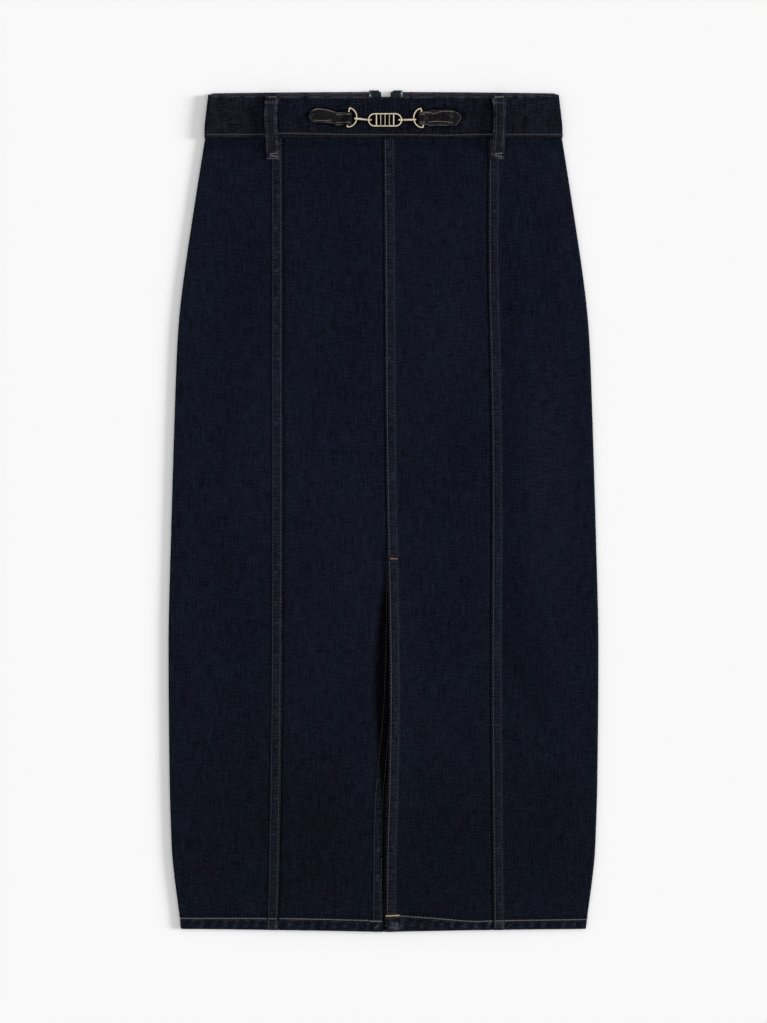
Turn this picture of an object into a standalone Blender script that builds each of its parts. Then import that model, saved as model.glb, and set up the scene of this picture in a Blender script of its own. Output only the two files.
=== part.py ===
"""A denim pencil skirt laid flat on its back, front up.

Metres, +Z up, +X to the right and +Y towards the waistband. The origin is the
middle of the skirt's box, at the flat underside that the skirt rests on.
The skirt is a flattened tube of cloth: its back lies on z = 0, its front lies
on its back, and each side is a small fold with the side seam on it. Every
piece is one sheet on that tube, thickened inwards.
"""

import math

import bmesh
import bpy
from mathutils import Matrix, Vector

# Cloth and seams.
DENIM = 0.0012  # one layer
FELL = 0.0008  # what a felled seam or a turned border adds to it
HEM_FELL = 0.0006  # what the turned hem adds to it
BAND = 0.0022  # the folded waistband
LOOP = 0.0018  # a belt loop, folded in three
TAPE = 0.0005  # zip tape
SEAM_GAP = 0.0003
HALF_GAP = SEAM_GAP / 2

# Heights along the skirt, from its middle.
WAIST_SEAM = 0.3809
TAPE_TOP = 0.4288
HEM_SIDE = -0.4260
HEM_DROP = 0.0028  # how much lower the hem is in the middle
HEM_DEPTH = 0.0112
SLIT_TOP = -0.0486
SLIT_SHUT = SLIT_TOP + 0.0025  # above it the two edges are a seam
SLIT_EASED = SLIT_TOP + 0.0200  # above it the seam is level with the crown
ZIP_END = 0.2050
ZIP_TAPER = 0.0120

# The flattened tube: radius of its side fold, and height of its crown.
BODY_FOLD = 0.0020
BODY_CROWN = 0.0056
BAND_FOLD = 0.0032
BAND_CROWN = 0.0072
CROWN_POWER = 2.5

# Height along the skirt, half width there.
BODY_OUTLINE = (
    (-0.4290, 0.2064),
    (-0.4123, 0.2082),
    (-0.3970, 0.2103),
    (-0.3780, 0.2128),
    (-0.3562, 0.2152),
    (-0.3350, 0.2165),
    (-0.2750, 0.2183),
    (-0.1320, 0.2194),
    (-0.0500, 0.2176),
    (0.1130, 0.2127),
    (0.1840, 0.2096),
    (0.2350, 0.2043),
    (0.3170, 0.1922),
    (0.3810, 0.1821),
)
BAND_OUTLINE = (
    (0.3800, 0.1827),
    (0.3935, 0.1825),
    (0.4139, 0.1802),
    (0.4290, 0.1784),
)

# Height along the skirt, x of the seam there.
LEFT_SEAM = (
    (-0.4290, -0.1077),
    (-0.3460, -0.1058),
    (-0.1930, -0.1037),
    (0.0620, -0.1028),
    (0.1500, -0.1031),
    (0.2310, -0.1029),
    (0.3810, -0.1033),
)
RIGHT_SEAM = (
    (-0.4290, 0.1121),
    (-0.3460, 0.1111),
    (-0.1930, 0.1098),
    (0.0200, 0.1103),
    (0.1130, 0.1094),
    (0.2500, 0.1067),
    (0.3810, 0.1072),
)
CENTRE_SEAM = (
    (-0.0500, 0.0040),
    (0.0820, 0.0019),
    (0.2250, 0.0011),
    (0.3810, -0.0002),
)
# The slit's two edges below its bartack. The left one lies under the right one.
SLIT_RIGHT_EDGE = (
    (-0.4290, 0.0019),
    (-0.3460, 0.0026),
    (-0.2950, 0.0041),
    (-0.1930, 0.0058),
    (-0.0910, 0.0049),
    (-0.0480, 0.0040),
)
SLIT_LEFT_EDGE = (
    (-0.4290, -0.0007),
    (-0.3460, 0.0000),
    (-0.2950, 0.0012),
    (-0.2620, 0.0040),
    (-0.1830, 0.0104),
    (-0.0600, 0.0129),
)
WELT_WIDTH = 0.0105
WELT_SLOPE = 0.0010

# How the slit's edges leave the crown: the left one sinks, the right one lifts.
SLIT_DIP = 0.00155
DIP_REACH = 0.0250
SLIT_LIFT = 0.0025
LIFT_REACH = 0.0300

# The waistband's top edge, front and back, at the sides and in the middle.
FRONT_TOP_SIDE = 0.4238
FRONT_TOP_MIDDLE = 0.4226
BACK_TOP_SIDE = 0.4265
BACK_TOP_MIDDLE = 0.4280
TOP_CORNER = 0.4252
CORNER_REACH = 0.0080

# Belt loops: height along the skirt, x of the left and the right edge.
LEFT_LOOP = (
    (0.3588, -0.1190, -0.1053),
    (0.3884, -0.1206, -0.1079),
    (0.3986, -0.1214, -0.1084),
    (0.4119, -0.1211, -0.1076),
    (0.4256, -0.1203, -0.1053),
)
RIGHT_LOOP = (
    (0.3588, 0.1091, 0.1227),
    (0.3884, 0.1116, 0.1240),
    (0.3986, 0.1119, 0.1241),
    (0.4119, 0.1115, 0.1243),
    (0.4256, 0.1097, 0.1253),
)
LOOP_BOTTOM_TACK = 0.3640
LOOP_TOP_TACK = 0.4215
LOOP_RISE = 0.0048

# Tabs: x, lower edge and upper edge, from the pointed end to the folded end.
LEFT_TAB = (
    (-0.0758, 0.4008, 0.4042),
    (-0.0722, 0.3962, 0.4086),
    (-0.0680, 0.3950, 0.4102),
    (-0.0600, 0.3948, 0.4098),
    (-0.0520, 0.3945, 0.4079),
    (-0.0484, 0.3935, 0.4062),
)
RIGHT_TAB = (
    (0.0792, 0.4003, 0.4035),
    (0.0743, 0.3930, 0.4068),
    (0.0707, 0.3923, 0.4085),
    (0.0575, 0.3926, 0.4087),
    (0.0473, 0.3922, 0.4084),
    (0.0440, 0.3938, 0.4064),
)
TAB_LAYER = 0.0010
LEFT_FOLD = 0.0035  # from the ring's bar to the end of the fold
RIGHT_FOLD = 0.0045
BEFORE_BAR = 0.0020  # the double fold starts this far before the bar
FOLD_SHOULDER = 0.0016  # where the fold begins to round off
FOLD_END = ((0.0006, 0.0017), (0.0, 0.0009))  # distance from the end, half thickness

# Link hardware.
WIRE = 0.0009  # radius of a ring's wire
RING_RADIUS = 0.0086  # from the bar to the ring's far side
RING_HALF_HEIGHT = 0.0096
LEFT_RING = (-0.0358, 0.4009)  # middle of the ring's straight bar
RIGHT_RING = (0.0394, 0.4004)
RING_TILT = math.radians(7.0)
RING_START = 0.16  # where the round part starts, radians from the bar
RING_CORNER = 0.92  # where the bar's straight stretch ends, as a share of the radius
LINK_WIRE = 0.00085
LINK_MIDDLE = (0.0016, 0.3985)
LINK_HALF_LENGTH = 0.0168
LINK_END_RADIUS = 0.0062
LINK_FRAME = 0.0088  # from the middle of the link to a frame bar
GRILLE_BARS = 3
GRILLE_BAR = 0.0008
STEM = 0.00125
NECK = 0.0006
BOSS = 0.0018
BOSS_FLATNESS = 0.72
BALL = 0.0012
STEM_HEIGHT = BAND_CROWN + SEAM_GAP + BOSS * BOSS_FLATNESS

# Zip at the centre back.
ZIP_MIDDLE = 0.0025
ZIP_HALF_OPENING = 0.00485
TAPE_LAP = 0.0098  # how far a tape reaches under the back piece
TAPE_BOTTOM = 0.1900
SLIDER_LOW = 0.4010
SLIDER_HIGH = 0.4110
SLIDER_WIDTH = 0.0080
PLATE = 0.0006
OUTER_PLATE = 0.0015  # height of the plate on the outside of the zip
INNER_PLATE = 0.0034
NECK_HALF_WIDTH = 0.0007
NECK_LENGTH = 0.0018
PULL_AXIS = (ZIP_MIDDLE, 0.4045, 0.00095)
PULL_LENGTH = 0.0180
PULL_WIDTH = 0.0044
PULL_HALF_THICKNESS = 0.00028
PULL_PIN = 0.00032
WINDOW_WIDTH = 0.0020
WINDOW_END = 0.0024
ARCH_WIDTH = 0.0012
ARCH_HALF_LENGTH = 0.0011
ARCH_LEG = 0.0005
ARCH_BAR = 0.00035
ARCH_LOW = 0.00005

SIDE_STEPS = 3  # facets round a side fold
SIDE_SHOULDER = 0.0120  # a row on the flat, this far before the side fold

# Rows and columns of the panels.
PANEL_LOW_ROW = -0.3800
PANEL_MIDDLE_ROW = 0.0200
SLIT_LEFT_COLUMNS = (0.0250, 0.0170)
SLIT_RIGHT_COLUMNS = (0.0200, 0.0300)
LEFT_DIP_RUN = (-0.3400, -0.2620)
RIGHT_LIFT_RUN = (-0.4000, -0.3000, -0.1100)
LEFT_DIP_START = 0.0090
SLIT_STEP = 0.0020
TACK_MARGIN = 0.0020
LOOP_SEAT_X = 0.1120
LOOP_SEAT_RUN = 0.0120
TAPE_RUN = 0.0080
TAPE_OPENS = 0.0040
BORE_DEPTH = 0.0300
SHANK_LAP = 0.0005
WINDOW_DEPTH = 0.0020


# Curves through the tables.


def read(table, height, column=1):
    """The value of one column at a height, on a smooth curve through the rows."""
    rows = sorted(table)
    height = min(max(height, rows[0][0]), rows[-1][0])
    i = 0
    while i < len(rows) - 2 and height > rows[i + 1][0]:
        i += 1
    low, high = rows[i], rows[i + 1]
    span = high[0] - low[0]

    def slope(k):
        before, after = rows[max(k - 1, 0)], rows[min(k + 1, len(rows) - 1)]
        return (after[column] - before[column]) / (after[0] - before[0])

    t = (height - low[0]) / span
    return (
        (2 * t**3 - 3 * t**2 + 1) * low[column]
        + (t**3 - 2 * t**2 + t) * span * slope(i)
        + (3 * t**2 - 2 * t**3) * high[column]
        + (t**3 - t**2) * span * slope(i + 1)
    )


def ease(value, start, end):
    """0 before start, 1 past end, and a soft step between them."""
    t = min(max((value - start) / (end - start), 0.0), 1.0)
    return t * t * (3 - 2 * t)


def spread(low, high, count):
    return [low + (high - low) * i / (count - 1) for i in range(count)]


# The flattened tube. A place across it is the way along the cloth from x = 0.


def fold_reach(radius):
    """From the end of the flat stretch to the side seam, along the cloth."""
    return radius * math.pi / 2


def side_place(outline, radius, height):
    return read(outline, height) - radius + fold_reach(radius)


def front_point(outline, radius, crown, across, height, lift=0.0):
    flat = read(outline, height) - radius
    middle = radius + HALF_GAP
    past = abs(across) - flat
    if past <= 0:
        rise = (crown - middle - radius) * (1 - abs(across / flat) ** CROWN_POWER)
        return (across, height, middle + radius + rise + lift)
    angle = past / radius
    reach = flat + (radius + lift) * math.sin(angle)
    return (math.copysign(reach, across), height, middle + (radius + lift) * math.cos(angle))


def back_point(outline, radius, across, height, lift=0.0):
    flat = read(outline, height) - radius
    middle = radius - HALF_GAP
    past = abs(across) - flat
    if past <= 0:
        return (across, height, -lift)
    angle = past / radius
    reach = flat + (radius + lift) * math.sin(angle)
    return (math.copysign(reach, across), height, middle - (middle + lift) * math.cos(angle))


def on_body(across, height, lift=0.0):
    return front_point(BODY_OUTLINE, BODY_FOLD, BODY_CROWN, across, height, lift)


def on_band(across, height, lift=0.0):
    return front_point(BAND_OUTLINE, BAND_FOLD, BAND_CROWN, across, height, lift)


def hem_line(x):
    half = read(BODY_OUTLINE, HEM_SIDE)
    return HEM_SIDE - HEM_DROP * max(0.0, 1 - abs(x) / half) ** 1.6


def with_hem(across, height):
    """The height of a row once the hem's bow is added to the lowest rows."""
    bow = hem_line(across) - HEM_SIDE
    return height + bow * (1 - ease(height, HEM_SIDE + HEM_DEPTH, HEM_SIDE + 0.12))


def hem_extra(height):
    """Extra thickness of the turned hem."""
    return HEM_FELL * (1 - ease(height, HEM_SIDE + HEM_DEPTH, HEM_SIDE + HEM_DEPTH + WELT_SLOPE))


def welt_extra(distance):
    """Extra thickness of a felled seam, by the distance from its edge."""
    return FELL * (1 - ease(distance, WELT_WIDTH, WELT_WIDTH + WELT_SLOPE))


# Objects and materials.


def clear_scene():
    for item in list(bpy.data.objects):
        bpy.data.objects.remove(item, do_unlink=True)


def material(name, colour, roughness, metallic=0.0):
    made = bpy.data.materials.new(name)
    made.use_nodes = True
    shader = made.node_tree.nodes["Principled BSDF"]
    shader.inputs["Base Color"].default_value = (*colour, 1.0)
    shader.inputs["Roughness"].default_value = roughness
    shader.inputs["Metallic"].default_value = metallic
    return made


def new_object(name, mesh, finish, group):
    made = bpy.data.objects.new(name, mesh)
    if finish is not None:
        made.data.materials.append(finish)
    group.objects.link(made)
    return made


def mesh_object(name, bm, finish, group):
    mesh = bpy.data.meshes.new(name)
    bm.to_mesh(mesh)
    bm.free()
    return new_object(name, mesh, finish, group)


def sheet(name, columns, rows, place, thickness, finish, group):
    """A sheet of cloth: a grid, extruded into a wall.

    columns are (share, offset) pairs across the sheet and rows are heights.
    place(column, row, depth) is a point that far under the sheet's outer face,
    and thickness(column, row) is the cloth there.
    """
    bm = bmesh.new()
    across, along = len(columns) - 1, len(rows) - 1
    bmesh.ops.create_grid(bm, x_segments=across, y_segments=along, size=0.5)
    cell = {}
    for vertex in bm.verts:
        i, j = round((vertex.co.x + 0.5) * across), round((vertex.co.y + 0.5) * along)
        cell[vertex] = (columns[i], rows[j])
        vertex.co = place(columns[i], rows[j], 0.0)
    outer = {tuple(vertex.co): spot for vertex, spot in cell.items()}
    raised = bmesh.ops.extrude_face_region(bm, geom=bm.faces[:])["geom"]
    for vertex in (item for item in raised if isinstance(item, bmesh.types.BMVert)):
        column, row = outer[tuple(vertex.co)]
        vertex.co = place(column, row, thickness(column, row))
    bmesh.ops.recalc_face_normals(bm, faces=bm.faces)
    return mesh_object(name, bm, finish, group)


def slab(name, columns, place_top, place_bottom, finish, group):
    """A strip three points wide with its own top and bottom heights."""
    bm = bmesh.new()
    across = len(columns) - 1
    bmesh.ops.create_grid(bm, x_segments=across, y_segments=2, size=0.5)
    shares = {v: (round((v.co.x + 0.5) * across), v.co.y + 0.5) for v in bm.verts}
    made = bmesh.ops.extrude_face_region(bm, geom=bm.faces[:])
    upper = {v for v in made["geom"] if isinstance(v, bmesh.types.BMVert)}
    for vertex in bm.verts:
        if vertex in upper:
            column = columns[round((vertex.co.x + 0.5) * across)]
            vertex.co = place_top(column, vertex.co.y + 0.5)
    for vertex, (i, share) in shares.items():
        vertex.co = place_bottom(columns[i], share)
    bmesh.ops.recalc_face_normals(bm, faces=bm.faces)
    return mesh_object(name, bm, finish, group)


def box(name, low, high, finish, group):
    bm = bmesh.new()
    bmesh.ops.create_cube(bm, size=1.0)
    size = [b - a for a, b in zip(low, high)]
    middle = [(a + b) / 2 for a, b in zip(low, high)]
    bmesh.ops.transform(bm, verts=bm.verts, matrix=Matrix.LocRotScale(middle, None, size))
    return mesh_object(name, bm, finish, group)


def cylinder_x(name, radius, low, high, middle, finish, group, sides=12):
    """A round bar along X from low to high; middle is its (y, z)."""
    bm = bmesh.new()
    bmesh.ops.create_cone(
        bm, cap_ends=True, segments=sides, radius1=radius, radius2=radius, depth=high - low
    )
    turn = Matrix.Rotation(math.pi / 2, 4, "Y")
    shift = Matrix.Translation(((low + high) / 2, *middle))
    bmesh.ops.transform(bm, verts=bm.verts, matrix=shift @ turn)
    return mesh_object(name, bm, finish, group)


def ball(name, radius, middle, finish, group, flatness=1.0):
    bm = bmesh.new()
    bmesh.ops.create_uvsphere(bm, u_segments=12, v_segments=8, radius=radius)
    bmesh.ops.scale(bm, verts=bm.verts, vec=(1.0, 1.0, flatness))
    bmesh.ops.translate(bm, verts=bm.verts, vec=middle)
    return mesh_object(name, bm, finish, group)


def wire_loop(name, points, radius, finish, group):
    """A closed ring of round wire through points, as a mesh."""
    curve = bpy.data.curves.new(name + "_path", "CURVE")
    curve.dimensions = "3D"
    curve.bevel_depth = radius
    curve.bevel_resolution = 2
    spline = curve.splines.new("POLY")
    spline.points.add(len(points) - 1)
    for control, point in zip(spline.points, points):
        control.co = (*point, 1.0)
    spline.use_cyclic_u = True
    path = bpy.data.objects.new(name + "_path", curve)
    bpy.context.scene.collection.objects.link(path)
    bpy.context.view_layer.update()
    seen = path.evaluated_get(bpy.context.evaluated_depsgraph_get())
    mesh = bpy.data.meshes.new_from_object(seen)
    bpy.data.objects.remove(path, do_unlink=True)
    bm = bmesh.new()
    bm.from_mesh(mesh)
    bmesh.ops.remove_doubles(bm, verts=bm.verts, dist=0.00001)
    bm.to_mesh(mesh)
    bm.free()
    mesh.materials.clear()
    return new_object(name, mesh, finish, group)


def combine(target, other, operation):
    """Joins a hidden shape to target, or cuts it away."""
    other.hide_render = True
    other.display_type = "WIRE"
    step = target.modifiers.new(other.name, "BOOLEAN")
    step.operation = operation
    step.object = other


# Panels.


def panel_rows():
    """Rows that all the panels share, hem to waist seam, closer at the slit's top."""
    rows = [HEM_SIDE, HEM_SIDE + HEM_DEPTH, HEM_SIDE + HEM_DEPTH + WELT_SLOPE]
    rows += spread(PANEL_LOW_ROW, SLIT_TOP - SIDE_SHOULDER, 9)
    rows += [SLIT_TOP - SLIT_STEP, SLIT_SHUT, SLIT_EASED]
    rows += spread(PANEL_MIDDLE_ROW, ZIP_END, 4)
    return rows + spread(ZIP_END + ZIP_TAPER, WAIST_SEAM - HALF_GAP, 4)


def side_columns(toward):
    """Columns round the side fold, the seam last; toward is -1 or 1."""
    reach = fold_reach(BODY_FOLD)
    share = 0.0 if toward < 0 else 1.0
    steps = [reach * (SIDE_STEPS - i) / SIDE_STEPS for i in range(SIDE_STEPS + 1)]
    columns = [(share, -toward * step) for step in [SIDE_SHOULDER] + steps]
    return columns if toward > 0 else columns[::-1]


def across_at(column, left, right):
    share, offset = column
    return left + share * (right - left) + offset


def front_side(name, toward, finish, group):
    """A side panel of the front: its felled seam edge lies on its inner side."""
    seam = LEFT_SEAM if toward < 0 else RIGHT_SEAM
    inner = 1.0 if toward < 0 else 0.0
    welt = [(inner, toward * d) for d in (0.0, WELT_WIDTH, WELT_WIDTH + WELT_SLOPE)]
    middle = [(1 / 3, 0.0), (2 / 3, 0.0)]
    if toward < 0:
        columns = side_columns(-1) + middle + welt[::-1]
    else:
        columns = welt + middle + side_columns(1)

    def across(column, row):
        edge = read(seam, row) + toward * HALF_GAP
        side = toward * side_place(BODY_OUTLINE, BODY_FOLD, row)
        return across_at(column, min(edge, side), max(edge, side))

    def welt_at(column, row):
        return welt_extra(abs(across(column, row) - read(seam, row)))

    def place(column, row, depth):
        x = across(column, row)
        return on_body(x, with_hem(x, row), welt_at(column, row) - depth)

    def thickness(column, row):
        return DENIM + welt_at(column, row) + hem_extra(row)

    return sheet(name, columns, panel_rows(), place, thickness, finish, group)


def slit_left_edge(height):
    """The left centre panel's edge: the seam, then the slit's hidden edge."""
    if height > SLIT_TOP:
        return read(CENTRE_SEAM, height) - HALF_GAP
    return read(SLIT_LEFT_EDGE, height)


def slit_right_edge(height):
    if height > SLIT_TOP:
        return read(CENTRE_SEAM, height) + HALF_GAP
    return read(SLIT_RIGHT_EDGE, height)


def left_dip(x, height):
    """How far the left centre panel sinks under the slit's right edge."""
    along = ease(height, *LEFT_DIP_RUN) * (1 - ease(height, SLIT_SHUT, SLIT_EASED))
    return -SLIT_DIP * along * (1 - ease(slit_left_edge(height) - x, LEFT_DIP_START, DIP_REACH))


def right_lift(x, height):
    """How far the right centre panel's edge stands off the panel below it."""
    low, full, high = RIGHT_LIFT_RUN
    along = ease(height, low, full) * (1 - ease(height, high, SLIT_TOP - SLIT_STEP))
    return SLIT_LIFT * along * (1 - ease(x - slit_right_edge(height), 0.0, LIFT_REACH))


def front_centre_left(finish, group):
    near = (WELT_WIDTH + WELT_SLOPE, WELT_WIDTH, 0.0)
    border = [(1.0, -d) for d in SLIT_LEFT_COLUMNS + near]
    columns = [(0.0, 0.0), (0.3, 0.0), (0.6, 0.0)] + border

    def across(column, row):
        return across_at(column, read(LEFT_SEAM, row) + HALF_GAP, slit_left_edge(row))

    def border_extra(column, row):
        turned = 1 - ease(row, SLIT_SHUT, SLIT_EASED)
        return turned * welt_extra(slit_left_edge(row) - across(column, row))

    def place(column, row, depth):
        x = across(column, row)
        return on_body(x, with_hem(x, row), left_dip(x, row) - depth)

    def thickness(column, row):
        return DENIM + border_extra(column, row) + hem_extra(row)

    return sheet("front_centre_left", columns, panel_rows(), place, thickness, finish, group)


def front_centre_right(finish, group):
    near = (0.0, WELT_WIDTH, WELT_WIDTH + WELT_SLOPE)
    border = [(0.0, d) for d in near + SLIT_RIGHT_COLUMNS]
    columns = border + [(0.5, 0.0), (0.75, 0.0), (1.0, 0.0)]

    def across(column, row):
        return across_at(column, slit_right_edge(row), read(RIGHT_SEAM, row) - HALF_GAP)

    def welt_at(column, row):
        return welt_extra(across(column, row) - slit_right_edge(row))

    def place(column, row, depth):
        x = across(column, row)
        rise = welt_at(column, row) + right_lift(x, row)
        return on_body(x, with_hem(x, row), rise - depth)

    def thickness(column, row):
        return DENIM + welt_at(column, row) + hem_extra(row)

    return sheet("front_centre_right", columns, panel_rows(), place, thickness, finish, group)


def zip_edge(height):
    """Half the opening between the back pieces: a seam below the zip."""
    return HALF_GAP + (ZIP_HALF_OPENING - HALF_GAP) * ease(height, ZIP_END, ZIP_END + ZIP_TAPER)


def back_panel(name, toward, finish, group):
    middle = [(i / 4, 0.0) for i in (1, 2, 3)]
    seam = [(1.0 if toward < 0 else 0.0, 0.0)]
    if toward < 0:
        columns = side_columns(-1) + middle + seam
    else:
        columns = seam + middle + side_columns(1)

    def across(column, row):
        edge = ZIP_MIDDLE + toward * zip_edge(row)
        side = toward * side_place(BODY_OUTLINE, BODY_FOLD, row)
        return across_at(column, min(edge, side), max(edge, side))

    def place(column, row, depth):
        x = across(column, row)
        return back_point(BODY_OUTLINE, BODY_FOLD, x, with_hem(x, row), -depth)

    def thickness(column, row):
        return DENIM + hem_extra(row)

    return sheet(name, columns, panel_rows(), place, thickness, finish, group)


# Waistband.


def band_top(x, side_height, middle_height):
    """The band's top edge: bowed across, and meeting the other half at the side."""
    side = side_place(BAND_OUTLINE, BAND_FOLD, TOP_CORNER)
    bowed = middle_height + (side_height - middle_height) * (x / side) ** 2
    return bowed + (TOP_CORNER - bowed) * ease(abs(x), side - CORNER_REACH, side)


def band_columns(toward):
    reach = fold_reach(BAND_FOLD)
    share = 0.0 if toward < 0 else 1.0
    steps = [reach * (SIDE_STEPS - i) / SIDE_STEPS for i in range(SIDE_STEPS + 1)]
    columns = [(share, -toward * step) for step in [SIDE_SHOULDER] + steps]
    return columns if toward > 0 else columns[::-1]


def band_piece(name, columns, edges, top, point, finish, group):
    """A stretch of band; edges gives its two ends, top its upper edge's heights."""
    shares = spread(0.0, 1.0, 4)

    def spot(column, share):
        height = WAIST_SEAM + HALF_GAP
        x = across_at(column, *edges(height))
        height += share * (band_top(x, *top) - height)
        return across_at(column, *edges(height)), height

    def place(column, share, depth):
        return point(*spot(column, share), -depth)

    def thickness(column, share):
        return BAND

    return sheet(name, columns, shares, place, thickness, finish, group)


def waistband(finish, group):
    def side(height):
        return side_place(BAND_OUTLINE, BAND_FOLD, height)

    def under(x, height, lift):
        return back_point(BAND_OUTLINE, BAND_FOLD, x, height, lift)

    front_top = (FRONT_TOP_SIDE, FRONT_TOP_MIDDLE)
    back_top = (BACK_TOP_SIDE, BACK_TOP_MIDDLE)
    middle = [(i / 12, 0.0) for i in range(1, 12)]
    band_piece(
        "waistband_front",
        band_columns(-1) + middle + band_columns(1),
        lambda height: (-side(height), side(height)),
        front_top,
        on_band,
        finish,
        group,
    )
    middle = [(i / 6, 0.0) for i in range(1, 6)]
    band_piece(
        "waistband_back_left",
        band_columns(-1) + middle + [(1.0, 0.0)],
        lambda height: (-side(height), ZIP_MIDDLE - ZIP_HALF_OPENING),
        back_top,
        under,
        finish,
        group,
    )
    band_piece(
        "waistband_back_right",
        [(0.0, 0.0)] + middle + band_columns(1),
        lambda height: (ZIP_MIDDLE + ZIP_HALF_OPENING, side(height)),
        back_top,
        under,
        finish,
        group,
    )


# Belt loops.


def loop_seat(height):
    """What a loop lies on: the felled seam below the band, then the band."""
    on_welt = on_body(LOOP_SEAT_X, height, FELL)[2]
    on_waist = on_band(LOOP_SEAT_X, height)[2]
    return on_welt + (on_waist - on_welt) * ease(height, WAIST_SEAM - LOOP_SEAT_RUN, WAIST_SEAM)


def belt_loop(name, table, finish, group):
    low, high = table[0][0], table[-1][0]
    rows = [low, *spread(LOOP_BOTTOM_TACK - TACK_MARGIN, LOOP_TOP_TACK + TACK_MARGIN, 13), high]
    columns = [(0.0, 0.0), (0.5, 0.0), (1.0, 0.0)]

    def place(column, row, depth):
        along = (row - LOOP_BOTTOM_TACK) / (LOOP_TOP_TACK - LOOP_BOTTOM_TACK)
        along = min(max(along, 0.0), 1.0)
        bow = 1 - abs(2 * along - 1) ** 4
        x = across_at(column, read(table, row, 1), read(table, row, 2))
        return (x, row, loop_seat(row) + SEAM_GAP + LOOP_RISE * bow + LOOP - depth)

    def thickness(column, row):
        return LOOP

    return sheet(name, columns, rows, place, thickness, finish, group)


# Tabs and link hardware.


def ring_bar_height():
    return BAND_CROWN + SEAM_GAP + TAB_LAYER + SEAM_GAP + WIRE


def tab(name, table, ring, past_bar, finish, group, cutters):
    """A pointed double tab whose folded end holds a ring's straight bar."""
    toward = 1 if ring[0] > table[0][0] else -1
    middle = ring_bar_height()
    half_fold = WIRE + SEAM_GAP + TAB_LAYER
    low = middle - half_fold
    lower, upper = table[-1][1], table[-1][2]
    end = ring[0] + toward * past_bar
    # x, lower edge, upper edge, bottom, top.
    flat_top = low + 2 * TAB_LAYER
    columns = [(x, a, b, low, flat_top) for x, a, b in table]
    full = ((past_bar + BEFORE_BAR, half_fold), (FOLD_SHOULDER, half_fold))
    for distance, half in full + FOLD_END:
        bottom = middle - half
        columns.append((end - toward * distance, lower, upper, bottom, middle + half))

    def place_top(column, share):
        x, a, b, _, top = column
        return (x, a + share * (b - a), top)

    def place_bottom(column, share):
        x, a, b, bottom, _ = column
        return (x, a + share * (b - a), bottom)

    made = slab(name, columns, place_top, place_bottom, finish, group)
    bore = bmesh.new()
    bmesh.ops.create_cone(
        bore,
        cap_ends=True,
        segments=12,
        radius1=WIRE + SEAM_GAP,
        radius2=WIRE + SEAM_GAP,
        depth=BORE_DEPTH,
    )
    turn = Matrix.Rotation(-toward * RING_TILT, 4, "Z") @ Matrix.Rotation(math.pi / 2, 4, "X")
    shift = Matrix.Translation((*ring, middle))
    bmesh.ops.transform(bore, verts=bore.verts, matrix=shift @ turn)
    combine(made, mesh_object(name + "_bore", bore, None, cutters), "DIFFERENCE")
    return made


def ring_points(ring, toward):
    """A D: a straight bar and half an ellipse that bows towards the link."""
    corner = RING_HALF_HEIGHT * RING_CORNER
    points = [(0.0, corner), (0.0, 0.0), (0.0, -corner)]
    for angle in spread(RING_START - math.pi / 2, math.pi / 2 - RING_START, 15):
        points.append((RING_RADIUS * math.cos(angle), RING_HALF_HEIGHT * math.sin(angle)))
    drop = STEM_HEIGHT - ring_bar_height()
    made = []
    for x, y in points:
        tilted = Matrix.Rotation(-RING_TILT, 2) @ Vector((x, y))
        height = ring_bar_height() + drop * x / RING_RADIUS
        made.append((ring[0] + toward * tilted.x, ring[1] + tilted.y, height))
    return made


def ring_apex(ring, toward):
    """x of the wire's middle where the ring reaches furthest towards the link."""
    return ring[0] + toward * RING_RADIUS


def link_end(toward):
    return LINK_MIDDLE[0] - toward * LINK_HALF_LENGTH


def ring_with_stem(name, ring, toward, finish, group, cutters):
    """A ring and the stem that runs from it into the link's end."""
    made = wire_loop(name, ring_points(ring, toward), WIRE, finish, group)
    at = (LINK_MIDDLE[1], STEM_HEIGHT)
    apex, end = ring_apex(ring, toward), link_end(toward)
    shoulder = end - toward * (BOSS + SEAM_GAP)
    ball_middle = end + toward * (BOSS + SEAM_GAP + BALL)
    shank = sorted((apex - toward * SHANK_LAP, shoulder))
    neck = sorted((shoulder - toward * SHANK_LAP, ball_middle))
    combine(made, cylinder_x(name + "_shank", STEM, *shank, at, None, cutters), "UNION")
    combine(made, cylinder_x(name + "_neck", NECK, *neck, at, None, cutters), "UNION")
    combine(made, ball(name + "_ball", BALL, (ball_middle, *at), None, cutters), "UNION")
    collar = (apex - toward * BALL, *at)
    combine(made, ball(name + "_collar", BALL, collar, None, cutters), "UNION")
    return made


def link_points():
    """A long oval: two straight rails and two round ends."""
    straight = LINK_HALF_LENGTH - LINK_END_RADIUS
    points = []
    for side in (1, -1):
        for angle in spread(-math.pi / 2, math.pi / 2, 9):
            x = side * (straight + LINK_END_RADIUS * math.cos(angle))
            y = side * LINK_END_RADIUS * math.sin(angle)
            points.append((LINK_MIDDLE[0] + x, LINK_MIDDLE[1] + y, STEM_HEIGHT))
    return points


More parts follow.
